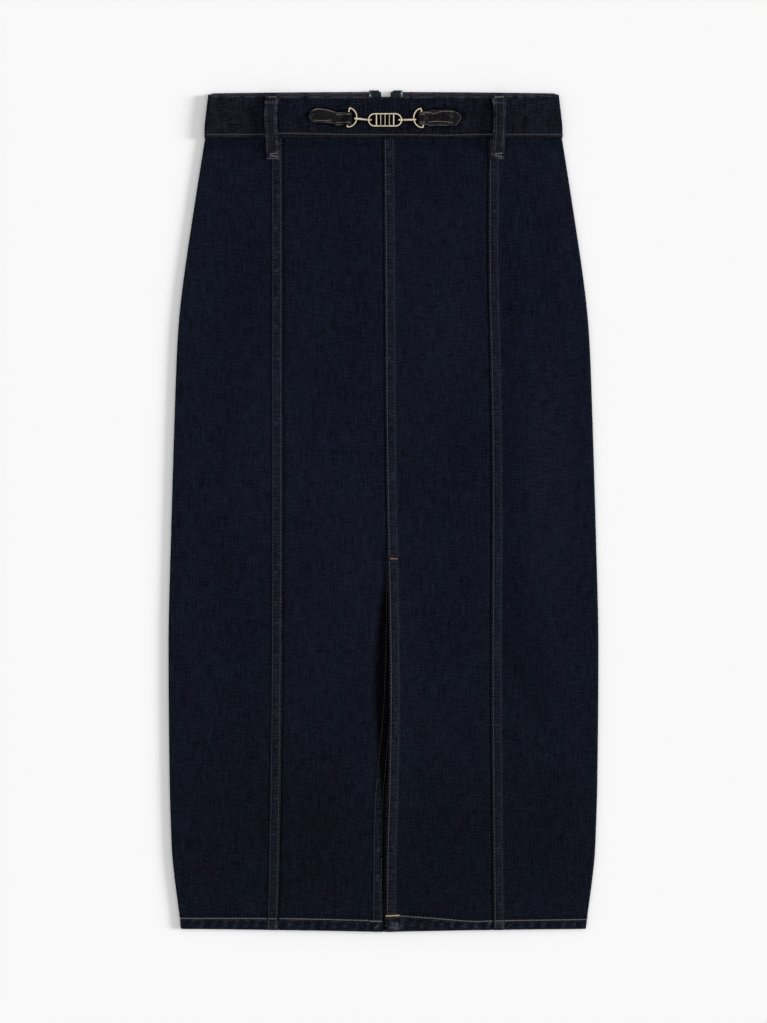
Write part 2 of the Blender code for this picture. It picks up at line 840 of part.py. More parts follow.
def link(finish, group, cutters):
    """The middle link: an oval of wire with a plain upright grille in it."""
    made = wire_loop("bit_link", link_points(), LINK_WIRE, finish, group)
    x, y = LINK_MIDDLE
    half = LINK_END_RADIUS
    bars = [(-LINK_FRAME, LINK_WIRE), (LINK_FRAME, LINK_WIRE)]
    pitch = 2 * LINK_FRAME / (GRILLE_BARS + 1)
    bars += [(pitch * (i + 1) - LINK_FRAME, GRILLE_BAR / 2) for i in range(GRILLE_BARS)]
    for i, (offset, thick) in enumerate(bars):
        low = (x + offset - thick, y - half, STEM_HEIGHT - thick * 0.8)
        high = (x + offset + thick, y + half, STEM_HEIGHT + thick * 0.8)
        combine(made, box(f"link_bar_{i}", low, high, None, cutters), "UNION")
    for toward in (1, -1):
        middle = (link_end(toward), y, STEM_HEIGHT)
        boss = ball(f"link_boss_{toward}", BOSS, middle, None, cutters, BOSS_FLATNESS)
        combine(made, boss, "UNION")
    for toward in (1, -1):
        reach = sorted((link_end(toward) - 2 * BOSS, link_end(toward) + 2 * BOSS))
        bore = cylinder_x(
            f"link_bore_{toward}", NECK + SEAM_GAP, *reach, (y, STEM_HEIGHT), None, cutters
        )
        combine(made, bore, "DIFFERENCE")
    return made


# Zip.


def tape_height(height):
    """The tape's outer face: on the back panel, then on the thicker band."""
    on_panel, on_waist = DENIM + SEAM_GAP, BAND + SEAM_GAP
    return on_panel + (on_waist - on_panel) * ease(height, WAIST_SEAM - TAPE_RUN, WAIST_SEAM)


def tape_inner(height):
    """From the zip's middle to a tape's edge: it opens above the slider."""
    return HALF_GAP + ZIP_HALF_OPENING * ease(height, SLIDER_LOW + TAPE_OPENS, SLIDER_HIGH + TAPE_OPENS)


def zip_tape(name, toward, finish, group):
    rows = spread(TAPE_BOTTOM, WAIST_SEAM - TAPE_RUN, 5) + spread(WAIST_SEAM, SLIDER_LOW, 3)
    rows += spread(SLIDER_LOW + TAPE_OPENS, SLIDER_HIGH + TAPE_OPENS, 4) + [TAPE_TOP]
    columns = [(0.0, 0.0), (1.0, 0.0)]

    def place(column, row, depth):
        inner = ZIP_MIDDLE + toward * tape_inner(row)
        outer = ZIP_MIDDLE + toward * (ZIP_HALF_OPENING + TAPE_LAP)
        x = across_at(column, min(inner, outer), max(inner, outer))
        return (x, row, tape_height(row) + depth)

    def thickness(column, row):
        return TAPE

    return sheet(name, columns, rows, place, thickness, finish, group)


def zip_slider(finish, group, cutters):
    """Two plates on a neck, with an arch outside that holds the pull."""
    x, y, z = PULL_AXIS
    half = SLIDER_WIDTH / 2
    low = (ZIP_MIDDLE - half, SLIDER_LOW, OUTER_PLATE)
    high = (ZIP_MIDDLE + half, SLIDER_HIGH, OUTER_PLATE + PLATE)
    made = box("zip_slider", low, high, finish, group)
    low = (ZIP_MIDDLE - half, SLIDER_LOW, INNER_PLATE)
    high = (ZIP_MIDDLE + half, SLIDER_HIGH, INNER_PLATE + PLATE)
    combine(made, box("slider_plate", low, high, None, cutters), "UNION")
    low = (ZIP_MIDDLE - NECK_HALF_WIDTH, SLIDER_HIGH - NECK_LENGTH, OUTER_PLATE + PLATE / 2)
    high = (ZIP_MIDDLE + NECK_HALF_WIDTH, SLIDER_HIGH - NECK_LENGTH / 3, INNER_PLATE + PLATE / 2)
    combine(made, box("slider_neck", low, high, None, cutters), "UNION")
    near, far = y - ARCH_HALF_LENGTH, y + ARCH_HALF_LENGTH
    left, right = x - ARCH_WIDTH / 2, x + ARCH_WIDTH / 2
    root = OUTER_PLATE + PLATE / 2
    pieces = (
        ("arch_bar", (left, near, ARCH_LOW), (right, far, ARCH_LOW + ARCH_BAR)),
        ("arch_near", (left, near, ARCH_LOW), (right, near + ARCH_LEG, root)),
        ("arch_far", (left, far - ARCH_LEG, ARCH_LOW), (right, far, root)),
    )
    for name, low, high in pieces:
        combine(made, box(name, low, high, None, cutters), "UNION")
    return made


def zip_pull(finish, group, cutters):
    """A flat pull, hung by a pin in the slider's arch; its origin is on the pin."""
    half, end = PULL_WIDTH / 2, WINDOW_WIDTH / 2
    low = (-half, -PULL_LENGTH, -PULL_HALF_THICKNESS)
    high = (half, 0.0, PULL_HALF_THICKNESS)
    made = box("zip_pull", low, high, finish, group)
    made.location = PULL_AXIS
    low, high = (-end, -WINDOW_END, -WINDOW_DEPTH), (end, WINDOW_DEPTH, WINDOW_DEPTH)
    window = box("pull_window", low, high, None, cutters)
    window.parent = made
    combine(made, window, "DIFFERENCE")
    pin = cylinder_x("pull_pin", PULL_PIN, -half, half, (0.0, 0.0), None, cutters, sides=10)
    pin.parent = made
    combine(made, pin, "UNION")
    return made


# The skirt.


def main():
    clear_scene()
    denim = material("denim", (0.0065, 0.0078, 0.0150), 0.85)
    tape = material("tape", (0.0080, 0.0140, 0.0220), 0.80)
    gold = material("gold", (0.72, 0.55, 0.30), 0.28, metallic=1.0)
    zip_metal = material("zip_metal", (0.55, 0.55, 0.53), 0.35, metallic=1.0)
    skirt = bpy.data.collections.new("denim_skirt")
    cutters = bpy.data.collections.new("cutters")
    for group in (skirt, cutters):
        bpy.context.scene.collection.children.link(group)

    for side, toward in (("left", -1), ("right", 1)):
        front_side(f"front_side_{side}", toward, denim, skirt)
        back_panel(f"back_{side}", toward, denim, skirt)
        zip_tape(f"zip_tape_{side}", toward, tape, skirt)
    front_centre_left(denim, skirt)
    front_centre_right(denim, skirt)
    waistband(denim, skirt)
    belt_loop("belt_loop_left", LEFT_LOOP, denim, skirt)
    belt_loop("belt_loop_right", RIGHT_LOOP, denim, skirt)
    tab("tab_left", LEFT_TAB, LEFT_RING, LEFT_FOLD, denim, skirt, cutters)
    tab("tab_right", RIGHT_TAB, RIGHT_RING, RIGHT_FOLD, denim, skirt, cutters)
    ring_with_stem("bit_ring_left", LEFT_RING, 1, gold, skirt, cutters)
    ring_with_stem("bit_ring_right", RIGHT_RING, -1, gold, skirt, cutters)
    link(gold, skirt, cutters)
    zip_slider(zip_metal, skirt, cutters)
    zip_pull(zip_metal, skirt, cutters)


main()
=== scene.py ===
import math
import random
from contextlib import contextmanager
from functools import cache

import bmesh
import bpy
from mathutils import Matrix, Vector, noise


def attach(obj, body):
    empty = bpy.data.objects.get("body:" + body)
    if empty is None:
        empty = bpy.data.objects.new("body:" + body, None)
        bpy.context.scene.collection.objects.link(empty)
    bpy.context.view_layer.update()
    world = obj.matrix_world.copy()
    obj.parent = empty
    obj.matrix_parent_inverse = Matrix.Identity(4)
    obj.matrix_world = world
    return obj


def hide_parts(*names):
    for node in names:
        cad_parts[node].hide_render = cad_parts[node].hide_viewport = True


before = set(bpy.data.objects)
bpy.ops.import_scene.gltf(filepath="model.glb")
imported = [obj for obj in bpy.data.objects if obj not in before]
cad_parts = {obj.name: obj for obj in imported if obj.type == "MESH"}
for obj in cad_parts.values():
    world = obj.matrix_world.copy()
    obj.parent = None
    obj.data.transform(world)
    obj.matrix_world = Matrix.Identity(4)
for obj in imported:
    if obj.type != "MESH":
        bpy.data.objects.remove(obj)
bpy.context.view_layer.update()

dice = random.Random(7)

# ---- Sizes of the skirt, in metres. It lies on its back: x to the right, y towards
# the waistband, z up out of its front.
DENIM = 0.0012
FELL = 0.0008
HEM_FELL = 0.0006
BAND = 0.0022
LOOP = 0.0018
TAPE = 0.0005
SEAM_GAP = 0.0003
HALF_GAP = SEAM_GAP / 2
SEWN_SHUT = 0.00003  # half the gap that is left between two panels sewn together

WAIST_SEAM = 0.3809
HEM_SIDE = -0.4260
HEM_DROP = 0.0028
HEM_DEPTH = 0.0112
SLIT_TOP = -0.0486
SLIT_SHUT = SLIT_TOP + 0.0025
SLIT_EASED = SLIT_TOP + 0.0200
ZIP_END = 0.2050
ZIP_TAPER = 0.0120
ZIP_MIDDLE = 0.0025
ZIP_HALF_OPENING = 0.00485

BODY_FOLD = 0.0020
BODY_CROWN = 0.0056
BAND_FOLD = 0.0032
BAND_CROWN = 0.0072
CROWN_POWER = 2.5

# Height along the skirt, half width there.
BODY_OUTLINE = (
    (-0.4290, 0.2064), (-0.4123, 0.2082), (-0.3970, 0.2103), (-0.3780, 0.2128), (-0.3562, 0.2152),
    (-0.3350, 0.2165), (-0.2750, 0.2183), (-0.1320, 0.2194), (-0.0500, 0.2176), (0.1130, 0.2127),
    (0.1840, 0.2096), (0.2350, 0.2043), (0.3170, 0.1922), (0.3810, 0.1821),
)
BAND_OUTLINE = (
    (0.3800, 0.1827), (0.3935, 0.1825), (0.4139, 0.1802), (0.4290, 0.1784),
)

# Height along the skirt, x of the seam there.
LEFT_SEAM = (
    (-0.4290, -0.1077), (-0.3460, -0.1058), (-0.1930, -0.1037), (0.0620, -0.1028),
    (0.1500, -0.1031), (0.2310, -0.1029), (0.3810, -0.1033),
)
RIGHT_SEAM = (
    (-0.4290, 0.1121), (-0.3460, 0.1111), (-0.1930, 0.1098), (0.0200, 0.1103), (0.1130, 0.1094),
    (0.2500, 0.1067), (0.3810, 0.1072),
)
CENTRE_SEAM = (
    (-0.0500, 0.0040), (0.0820, 0.0019), (0.2250, 0.0011), (0.3810, -0.0002),
)
SLIT_RIGHT_EDGE = (
    (-0.4290, 0.0019), (-0.3460, 0.0026), (-0.2950, 0.0041), (-0.1930, 0.0058), (-0.0910, 0.0049),
    (-0.0480, 0.0040),
)
SLIT_LEFT_EDGE = (
    (-0.4290, -0.0007), (-0.3460, 0.0000), (-0.2950, 0.0012), (-0.2620, 0.0040),
    (-0.1830, 0.0104), (-0.0600, 0.0129),
)
WELT_WIDTH = 0.0105
WELT_SLOPE = 0.0010
SLIT_DIP = 0.00155
DIP_REACH = 0.0250
SLIT_LIFT = 0.0025
LIFT_REACH = 0.0300

FRONT_TOP_SIDE = 0.4238
FRONT_TOP_MIDDLE = 0.4226
BACK_TOP_SIDE = 0.4265
BACK_TOP_MIDDLE = 0.4280
TOP_CORNER = 0.4252
CORNER_REACH = 0.0080

# Height along the skirt, x of the left and the right edge.
LEFT_LOOP = (
    (0.3588, -0.1190, -0.1053), (0.3884, -0.1206, -0.1079), (0.3986, -0.1214, -0.1084),
    (0.4119, -0.1211, -0.1076), (0.4256, -0.1203, -0.1053),
)
RIGHT_LOOP = (
    (0.3588, 0.1091, 0.1227), (0.3884, 0.1116, 0.1240), (0.3986, 0.1119, 0.1241),
    (0.4119, 0.1115, 0.1243), (0.4256, 0.1097, 0.1253),
)
LOOP_BOTTOM_TACK = 0.3640
LOOP_TOP_TACK = 0.4215
LOOP_RISE = 0.0048

# Tabs: x, lower edge and upper edge, from the pointed end to the folded end.
LEFT_TAB = (
    (-0.0758, 0.4008, 0.4042), (-0.0722, 0.3968, 0.4086), (-0.0680, 0.3958, 0.4103),
    (-0.0600, 0.3957, 0.4098), (-0.0520, 0.3951, 0.4079), (-0.0484, 0.3931, 0.4062),
)
RIGHT_TAB = (
    (0.0792, 0.4003, 0.4035), (0.0743, 0.3930, 0.4068), (0.0707, 0.3923, 0.4085),
    (0.0575, 0.3926, 0.4087), (0.0473, 0.3922, 0.4084), (0.0440, 0.3934, 0.4064),
)
TAB_LAYER = 0.0010
LEFT_FOLD = 0.0035
RIGHT_FOLD = 0.0045

WIRE = 0.0009
RING_RADIUS = 0.0086
RING_HALF_HEIGHT = 0.0096
LEFT_RING = (-0.0358, 0.4009)
RIGHT_RING = (0.0394, 0.4004)
RING_TILT = math.radians(7.0)
RING_START = 0.16
RING_CORNER = 0.89
LINK_WIRE = 0.00085
LINK_MIDDLE = (0.0016, 0.3985)
LINK_HALF_LENGTH = 0.0168
LINK_END_RADIUS = 0.0062
LINK_FRAME = 0.0088
NECK = 0.0006
BOSS = 0.0018
STEM_HEIGHT = 0.0088
BAR_HEIGHT = BAND_CROWN + 2 * SEAM_GAP + TAB_LAYER + WIRE

# Which way each side lies from the middle.
SIDES = (("left", -1), ("right", 1))
SEAMS = {-1: LEFT_SEAM, 1: RIGHT_SEAM}
LOOPS = (("left", LEFT_LOOP), ("right", RIGHT_LOOP))
TABS = (
    ("left", LEFT_TAB, LEFT_RING, LEFT_FOLD),
    ("right", RIGHT_TAB, RIGHT_RING, RIGHT_FOLD),
)

# Soft troughs (depth above 0) and ridges (below 0) in the front:
# two ends, half width, depth.
FRONT_CREASES = (
    ((0.1240, -0.0500), (0.1560, -0.2300), 0.016, 0.0010),
    ((0.1150, -0.1250), (0.1600, -0.2150), 0.009, 0.0010),
    ((0.1330, 0.1200), (0.1260, -0.0200), 0.012, -0.0006),
    ((0.0420, 0.3400), (0.0680, 0.1500), 0.020, -0.0008),
    ((0.0800, 0.1400), (0.0560, -0.1600), 0.024, 0.0007),
    ((-0.0300, 0.3300), (-0.0460, 0.1400), 0.022, 0.0006),
    ((-0.0640, 0.1000), (-0.0400, -0.1500), 0.026, -0.0007),
    ((-0.1500, 0.2900), (-0.1700, 0.0500), 0.020, 0.0007),
    ((-0.1660, -0.0300), (-0.1420, -0.2600), 0.022, 0.0006),
    ((0.1500, 0.3200), (0.1700, 0.1700), 0.016, 0.0006),
    ((-0.0800, -0.2500), (-0.0500, -0.3900), 0.020, 0.0006),
    ((0.0500, -0.2300), (0.0700, -0.3700), 0.018, -0.0007),
    ((0.1700, -0.2600), (0.1500, -0.3900), 0.018, 0.0006),
)
BACK_CREASES = (
    ((-0.0900, 0.2900), (-0.1200, 0.0700), 0.022, 0.0005),
    ((0.1000, 0.2400), (0.0800, 0.0100), 0.024, 0.0005),
    ((-0.0600, -0.0500), (-0.0900, -0.2700), 0.024, 0.0005),
    ((0.1300, -0.0800), (0.1100, -0.3300), 0.022, 0.0005),
)


# ---- Curves through the tables, and the flattened tube of cloth.
@cache
def read(table, height, column=1):
    """One column of a table, on a smooth curve through its rows."""
    rows = table if table[0][0] < table[-1][0] else table[::-1]
    height = min(max(height, rows[0][0]), rows[-1][0])
    i = 0
    while i < len(rows) - 2 and height > rows[i + 1][0]:
        i += 1
    low, high = rows[i], rows[i + 1]
    span = high[0] - low[0]

    def slope(k):
        before, after = rows[max(k - 1, 0)], rows[min(k + 1, len(rows) - 1)]
        return (after[column] - before[column]) / (after[0] - before[0])

    t = (height - low[0]) / span
    return (
        (2 * t**3 - 3 * t**2 + 1) * low[column]
        + (t**3 - 2 * t**2 + t) * span * slope(i)
        + (3 * t**2 - 2 * t**3) * high[column]
        + (t**3 - t**2) * span * slope(i + 1)
    )


def both(table, place):
    """The lower and upper edge, or the left and right one, of a tab or loop."""
    return read(table, place, 1), read(table, place, 2)


def ease(value, start, end):
    """0 before start, 1 past end, and a soft step between them."""
    t = min(max((value - start) / (end - start), 0.0), 1.0)
    return t * t * (3 - 2 * t)


def fall(value, start, end):
    """1 before start, 0 past end, and a soft step between them."""
    return 1 - ease(value, start, end)


def hump(distance, reach):
    """1 at 0 and falling softly to 0 at reach."""
    return fall(abs(distance), 0.0, reach)


def spread(low, high, count):
    return [low + (high - low) * i / (count - 1) for i in range(count)]


def front_point(half, fold, crown, across, height, lift):
    """A point this far out from the tube's front, which is crowned in the middle."""
    flat = half - fold
    middle = fold + HALF_GAP
    past = abs(across) - flat
    if past <= 0:
        rise = (crown - middle - fold) * (1 - abs(across / flat) ** CROWN_POWER)
        return (across, height, middle + fold + rise + lift)
    angle = past / fold
    reach = flat + (fold + lift) * math.sin(angle)
    return (math.copysign(reach, across), height, middle + (fold + lift) * math.cos(angle))


def back_point(half, fold, across, height, lift):
    """A point this far out from the tube's back, which is flat on the floor."""
    flat = half - fold
    middle = fold - HALF_GAP
    past = abs(across) - flat
    if past <= 0:
        return (across, height, -lift)
    angle = past / fold
    reach = flat + (fold + lift) * math.sin(angle)
    return (math.copysign(reach, across), height, middle - (middle + lift) * math.cos(angle))


def crease_depth(creases, x, y):
    """Depth of the soft troughs at a place; each fades out at its ends."""
    total = 0.0
    for (x0, y0), (x1, y1), width, depth in creases:
        dx, dy = x1 - x0, y1 - y0
        length = math.hypot(dx, dy)
        along = ((x - x0) * dx + (y - y0) * dy) / length
        if along < -0.05 or along > length + 0.05:
            continue
        across = ((x - x0) * dy - (y - y0) * dx) / length
        if abs(across) > 3 * width:
            continue
        ends = ease(along, -0.04, 0.05) * fall(along, length - 0.05, length + 0.04)
        bend = 0.25 * width * math.sin(along * 31 + x0 * 90)
        total += depth * ends * math.exp(-(((across + bend) / width) ** 2))
    return total


def ripple(x, y, size, seed):
    """Smooth noise from -1 to 1 with the given feature size."""
    return noise.noise(Vector((x / size, y / size, seed)))


@cache
def hem_line(x):
    return HEM_SIDE - HEM_DROP * max(0.0, 1 - abs(x) / half_width(HEM_SIDE)) ** 1.6


def with_hem(across, height):
    """The height of a row once the hem has bowed down in the middle."""
    bow = hem_line(across) - HEM_SIDE
    return height + bow * fall(height, HEM_SIDE + HEM_DEPTH, HEM_SIDE + 0.12)


def slit_left_edge(height):
    if height > SLIT_TOP:
        return read(CENTRE_SEAM, height) - SEWN_SHUT
    return read(SLIT_LEFT_EDGE, height)


def slit_right_edge(height):
    if height > SLIT_TOP:
        return read(CENTRE_SEAM, height) + SEWN_SHUT
    return read(SLIT_RIGHT_EDGE, height)


def left_dip(inset, height):
    """How far the slit's left edge sinks under the right one."""
    along = ease(height, -0.340, -0.262) * fall(height, SLIT_SHUT, SLIT_EASED)
    return -SLIT_DIP * along * fall(inset, 0.009, DIP_REACH)


def right_lift(inset, height):
    """How far the slit's right edge stands up over the left one."""
    along = ease(height, -0.400, -0.300) * fall(height, -0.110, SLIT_TOP - 0.002)
    return SLIT_LIFT * along * fall(inset, 0.0, LIFT_REACH)


@cache
def band_top(x, side_height, middle_height):
    side = band_side(TOP_CORNER)
    bowed = middle_height + (side_height - middle_height) * (x / side) ** 2
    return bowed + (TOP_CORNER - bowed) * ease(abs(x), side - CORNER_REACH, side)


# ---- Node helpers and shared shader groups.
class Tree:
    """A node tree with short calls for its nodes and links."""

    def __init__(self, tree):
        self.tree = tree

    def fill(self, made, values):
        """Gives a node's inputs their values; a value that is a socket is linked."""
        for socket, value in values.items():
            if isinstance(value, bpy.types.NodeSocket):
                self.tree.links.new(value, made.inputs[socket])
            else:
                made.inputs[socket].default_value = value
        return made

    def node(self, kind, values=None, **settings):
        made = self.tree.nodes.new(kind)
        for name, value in settings.items():
            setattr(made, name, value)
        return self.fill(made, values or {})

    def math(self, operation, first, second, clamp=False):
        values = {0: first, 1: second}
        made = self.node("ShaderNodeMath", values, operation=operation, use_clamp=clamp)
        return made.outputs[0]

    def plus(self, first, second, clamp=False):
        return self.math("ADD", first, second, clamp)

    def times(self, first, second, clamp=False):
        return self.math("MULTIPLY", first, second, clamp)

    def mix(self, share, first, second, blend="MIX"):
        values = {0: share, 6: first, 7: second}
        return self.node("ShaderNodeMix", values, data_type="RGBA", blend_type=blend).outputs[2]

    def scaled(self, vector, scale, turn=0.0):
        values = {0: vector, 2: (0.0, 0.0, turn), 3: scale}
        return self.node("ShaderNodeMapping", values).outputs[0]

    def noise(self, vector, detail=2.0, roughness=0.5):
        values = {"Vector": vector, "Scale": 1.0, "Detail": detail, "Roughness": roughness}
        return self.node("ShaderNodeTexNoise", values).outputs[0]

    def ramp(self, value, low, high, start=0.0, end=1.0):
        values = {0: value, 1: low, 2: high, 3: start, 4: end}
        return self.node("ShaderNodeMapRange", values, clamp=True).outputs[0]

    def bump(self, strength, distance, height):
        values = {"Strength": strength, "Distance": distance, "Height": height}
        return self.node("ShaderNodeBump", values).outputs[0]


def new_group(name, inputs, outputs):
    """A shader group: its helper, its inputs' sockets and its output node."""
    tree = bpy.data.node_groups.new(name, "ShaderNodeTree")
    for socket, kind, value in inputs:
        made = tree.interface.new_socket(socket, in_out="INPUT", socket_type=kind)
        if value is not None:
            made.default_value = value
    for socket, kind in outputs:
        tree.interface.new_socket(socket, in_out="OUTPUT", socket_type=kind)
    helper = Tree(tree)
    return helper, helper.node("NodeGroupInput").outputs, helper.node("NodeGroupOutput")


COLOUR, FLOAT, VECTOR = "NodeSocketColor", "NodeSocketFloat", "NodeSocketVector"
WALE_SLANT = math.radians(-27)
MEAN_TONE = 1.09  # the slubs and blots together, where the dye is as given
PURPLE_CAST = (1.09, 0.94, 0.96, 1.0)
GREEN_CAST = (0.90, 1.10, 0.98, 1.0)
LOW_CAST = (0.96, 0.97, 0.86, 1.0)  # towards the hem


def weave_group():
    """Twill cloth on a map in metres. Its wear input above 0 is worn; below 0, dye and painted
    shade darken it.
    """
    t, given, out = new_group(
        "Twill weave",
        (
            ("Map", VECTOR, None),
            ("Warp", COLOUR, None),
            ("Weft", COLOUR, None),
            ("Fade", FLOAT, 0.0),
            ("Worn", COLOUR, None),
            ("Slub", FLOAT, 1.0),
        ),
        (("Color", COLOUR), ("Height", FLOAT), ("Roughness", FLOAT)),
    )
    where, wear_and_shade = given["Map"], given["Fade"]
    wales = t.node(
        "ShaderNodeTexWave",
        {"Vector": t.scaled(where, (1400.0, 1400.0, 1.0), WALE_SLANT), "Scale": 0.16,
         "Distortion": 1.2, "Detail": 2.0, "Detail Scale": 2.5},
    ).outputs[1]
    warp_slub = t.noise(t.scaled(where, (820.0, 46.0, 1.0)), 3.0, 0.6)
    weft_slub = t.noise(t.scaled(where, (70.0, 760.0, 1.0)), 3.0, 0.6)
    pepper = t.noise(t.scaled(where, (900.0, 620.0, 1.0)), 1.0)
    mottle = t.noise(t.scaled(where, (150.0, 90.0, 1.0)), 4.0, 0.6)
    cast = t.noise(t.scaled(where, (24.0, 15.0, 1.0)), 3.0, 0.6)
    depth = t.noise(t.scaled(where, (9.0, 6.0, 1.0)), 2.0, 0.5)
    streaks = t.plus(t.times(warp_slub, 0.78), t.times(weft_slub, 0.60))
    blots = t.plus(t.times(mottle, 0.44), t.times(pepper, 0.36))
    tone = t.math("SUBTRACT", t.plus(streaks, blots), MEAN_TONE)
    tone = t.plus(tone, t.times(t.math("SUBTRACT", depth, 0.5), 0.12))
    lighter = t.plus(t.times(t.times(tone, given["Slub"]), 2.9), 1.0)
    lighter = t.math("MAXIMUM", lighter, 0.22)
    shaded = t.times(lighter, t.plus(wear_and_shade, 1.0, clamp=True))
    shade = t.node("ShaderNodeCombineColor", {0: shaded, 1: shaded, 2: shaded}).outputs[0]
    yarn = t.mix(1.0, given["Warp"], shade, "MULTIPLY")
    casts = t.mix(t.ramp(cast, 0.38, 0.62), PURPLE_CAST, GREEN_CAST)
    height = t.node("ShaderNodeSeparateXYZ", {0: where}).outputs[1]
    low = t.mix(t.ramp(height, -0.02, -0.28), (1.0, 1.0, 1.0, 1.0), LOW_CAST)
    casts = t.mix(1.0, casts, low, "MULTIPLY")
    dyed = t.mix(1.0, yarn, casts, "MULTIPLY")
    fleck = t.times(t.ramp(pepper, 0.56, 0.74), t.ramp(wales, 0.25, 0.9))
    woven = t.mix(t.times(fleck, 0.45), dyed, given["Weft"])
    ribs = t.noise(t.scaled(where, (95.0, 430.0, 1.0)), 2.0, 0.6)
    rub = t.times(wear_and_shade, t.ramp(ribs, 0.42, 0.56), clamp=True)
    t.fill(out, {
        "Color": t.mix(rub, woven, given["Worn"]),
        "Height": t.plus(t.times(wales, 0.6), t.times(streaks, 0.5)),
        "Roughness": t.plus(t.times(mottle, 0.12), 0.78),
    })
    return t.tree


def metal_group():
    """Handling marks on polished metal: a tint mask, a roughness and a relief."""
    t, given, out = new_group(
        "Handled metal",
        (("Vector", VECTOR, None), ("Shine", FLOAT, 0.2)),
        (("Tarnish", FLOAT), ("Roughness", FLOAT), ("Height", FLOAT)),
    )
    smear = t.noise(t.scaled(given["Vector"], (260.0, 260.0, 260.0)), 4.0, 0.6)
    t.fill(out, {
        "Tarnish": t.ramp(smear, 0.42, 0.75),
        "Roughness": t.plus(given["Shine"], t.times(smear, 0.16)),
        "Height": t.noise(t.scaled(given["Vector"], (2600.0, 2600.0, 2600.0)), 2.0),
    })
    return t.tree


WEAVE = weave_group()
HANDLED = metal_group()


def new_material(name):
    made = bpy.data.materials.new(name)
    made.use_nodes = True
    return made, Tree(made.node_tree), made.node_tree.nodes["Principled BSDF"]


def cloth_material(name, warp, weft, worn, slub=1.0, relief=0.00010):
    made, t, shader = new_material(name)
    values = {
        "Map": t.node("ShaderNodeUVMap", uv_map="weave").outputs[0],
        "Fade": t.node("ShaderNodeAttribute", attribute_name="wear_and_shade").outputs["Fac"],
        "Warp": (*warp, 1.0),
        "Weft": (*weft, 1.0),
        "Worn": (*worn, 1.0),
        "Slub": slub,
    }
    weave = t.node("ShaderNodeGroup", values, node_tree=WEAVE).outputs
    t.fill(shader, {
        "Base Color": weave["Color"],
        "Roughness": weave["Roughness"],
        "Normal": t.bump(0.7, relief, weave["Height"]),
        "Specular IOR Level": 0.03,
    })
    return made


def thread_material(name, colour, other):
    """Twisted thread: fine slanting plies and a colour that wanders."""
    made, t, shader = new_material(name)
    where = t.node("ShaderNodeTexCoord").outputs["Object"]
    wander = t.noise(t.scaled(where, (420.0, 420.0, 420.0)), 2.0)
    slanted = t.scaled(where, (5200.0, 5200.0, 5200.0), 0.7)
    plies = t.node("ShaderNodeTexWave", {"Vector": slanted, "Scale": 0.3, "Distortion": 1.0})
    t.fill(shader, {
        "Base Color": t.mix(t.ramp(wander, 0.38, 0.62), (*colour, 1.0), (*other, 1.0)),
        "Normal": t.bump(0.5, 0.00008, plies.outputs[1]),
        "Roughness": 0.6,
        "Specular IOR Level": 0.25,
    })
    return made


def metal_material(name, colour, tarnish, shine):
    made, t, shader = new_material(name)
    where = t.node("ShaderNodeTexCoord").outputs["Object"]
    values = {"Vector": where, "Shine": shine}
    marks = t.node("ShaderNodeGroup", values, node_tree=HANDLED).outputs
    t.fill(shader, {
        "Base Color": t.mix(marks["Tarnish"], (*colour, 1.0), (*tarnish, 1.0)),
        "Roughness": marks["Roughness"],
        "Normal": t.bump(0.10, 0.000002, marks["Height"]),
        "Metallic": 1.0,
    })
    return made


DENIM_FACE = cloth_material(
    "indigo_denim", (0.0047, 0.0059, 0.0136), (0.040, 0.045, 0.060), (0.057, 0.058, 0.066)
)
DENIM_BAND = cloth_material(
    "indigo_denim_band", (0.0048, 0.0051, 0.0108), (0.040, 0.045, 0.060), (0.075, 0.077, 0.090),
    1.5,
)
DENIM_TAB = cloth_material(
    "indigo_denim_tab", (0.0076, 0.0068, 0.0088), (0.046, 0.046, 0.052), (0.150, 0.146, 0.150)
)
DENIM_LOOP = cloth_material(
    "indigo_denim_loop", (0.0068, 0.0072, 0.0122), (0.046, 0.048, 0.060), (0.098, 0.100, 0.130)
)
# The wrong side is darker than bare denim's: its own colour with painted shade, for where it
# shows in the slit.
DENIM_WRONG = cloth_material(
    "denim_wrong_side", (0.0080, 0.0085, 0.0125), (0.050, 0.052, 0.060), (0.05, 0.05, 0.06), 0.8
)
BAND_WRONG = cloth_material(
    "waistband_facing", (0.0235, 0.0215, 0.0280), (0.080, 0.080, 0.088), (0.10, 0.10, 0.10), 0.8
)
TAPE_CLOTH = cloth_material(
    "zip_tape_cloth", (0.0150, 0.0195, 0.0235), (0.03, 0.038, 0.045), (0.42, 0.50, 0.56),
    0.4, 0.00006,
)
SLATE = thread_material("slate_thread", (0.055, 0.058, 0.060), (0.034, 0.038, 0.043))
LEFT_SLATE = thread_material("slate_thread_left", (0.033, 0.037, 0.042), (0.021, 0.026, 0.033))
RIGHT_SLATE = thread_material("slate_thread_right", (0.040, 0.045, 0.050), (0.026, 0.031, 0.037))
DIM_SLATE = thread_material("dark_slate_thread", (0.021, 0.025, 0.032), (0.014, 0.017, 0.024))
SHADED = thread_material("shaded_thread", (0.011, 0.0090, 0.0105), (0.0065, 0.0055, 0.0075))
TAN = thread_material("tan_thread", (0.108, 0.096, 0.105), (0.082, 0.074, 0.084))
ROSE = thread_material("rose_tan_thread", (0.0330, 0.0290, 0.0310), (0.0265, 0.0250, 0.0285))
CREAM = thread_material("cream_thread", (0.150, 0.138, 0.118), (0.125, 0.090, 0.070))
DARK_RUST = thread_material("dark_rust_thread", (0.021, 0.0095, 0.0050), (0.011, 0.0055, 0.0045))
RUST = thread_material("rust_thread", (0.190, 0.125, 0.095), (0.250, 0.190, 0.155))
PALE_RUST = thread_material("pale_rust_thread", (0.47, 0.39, 0.30), (0.36, 0.23, 0.13))
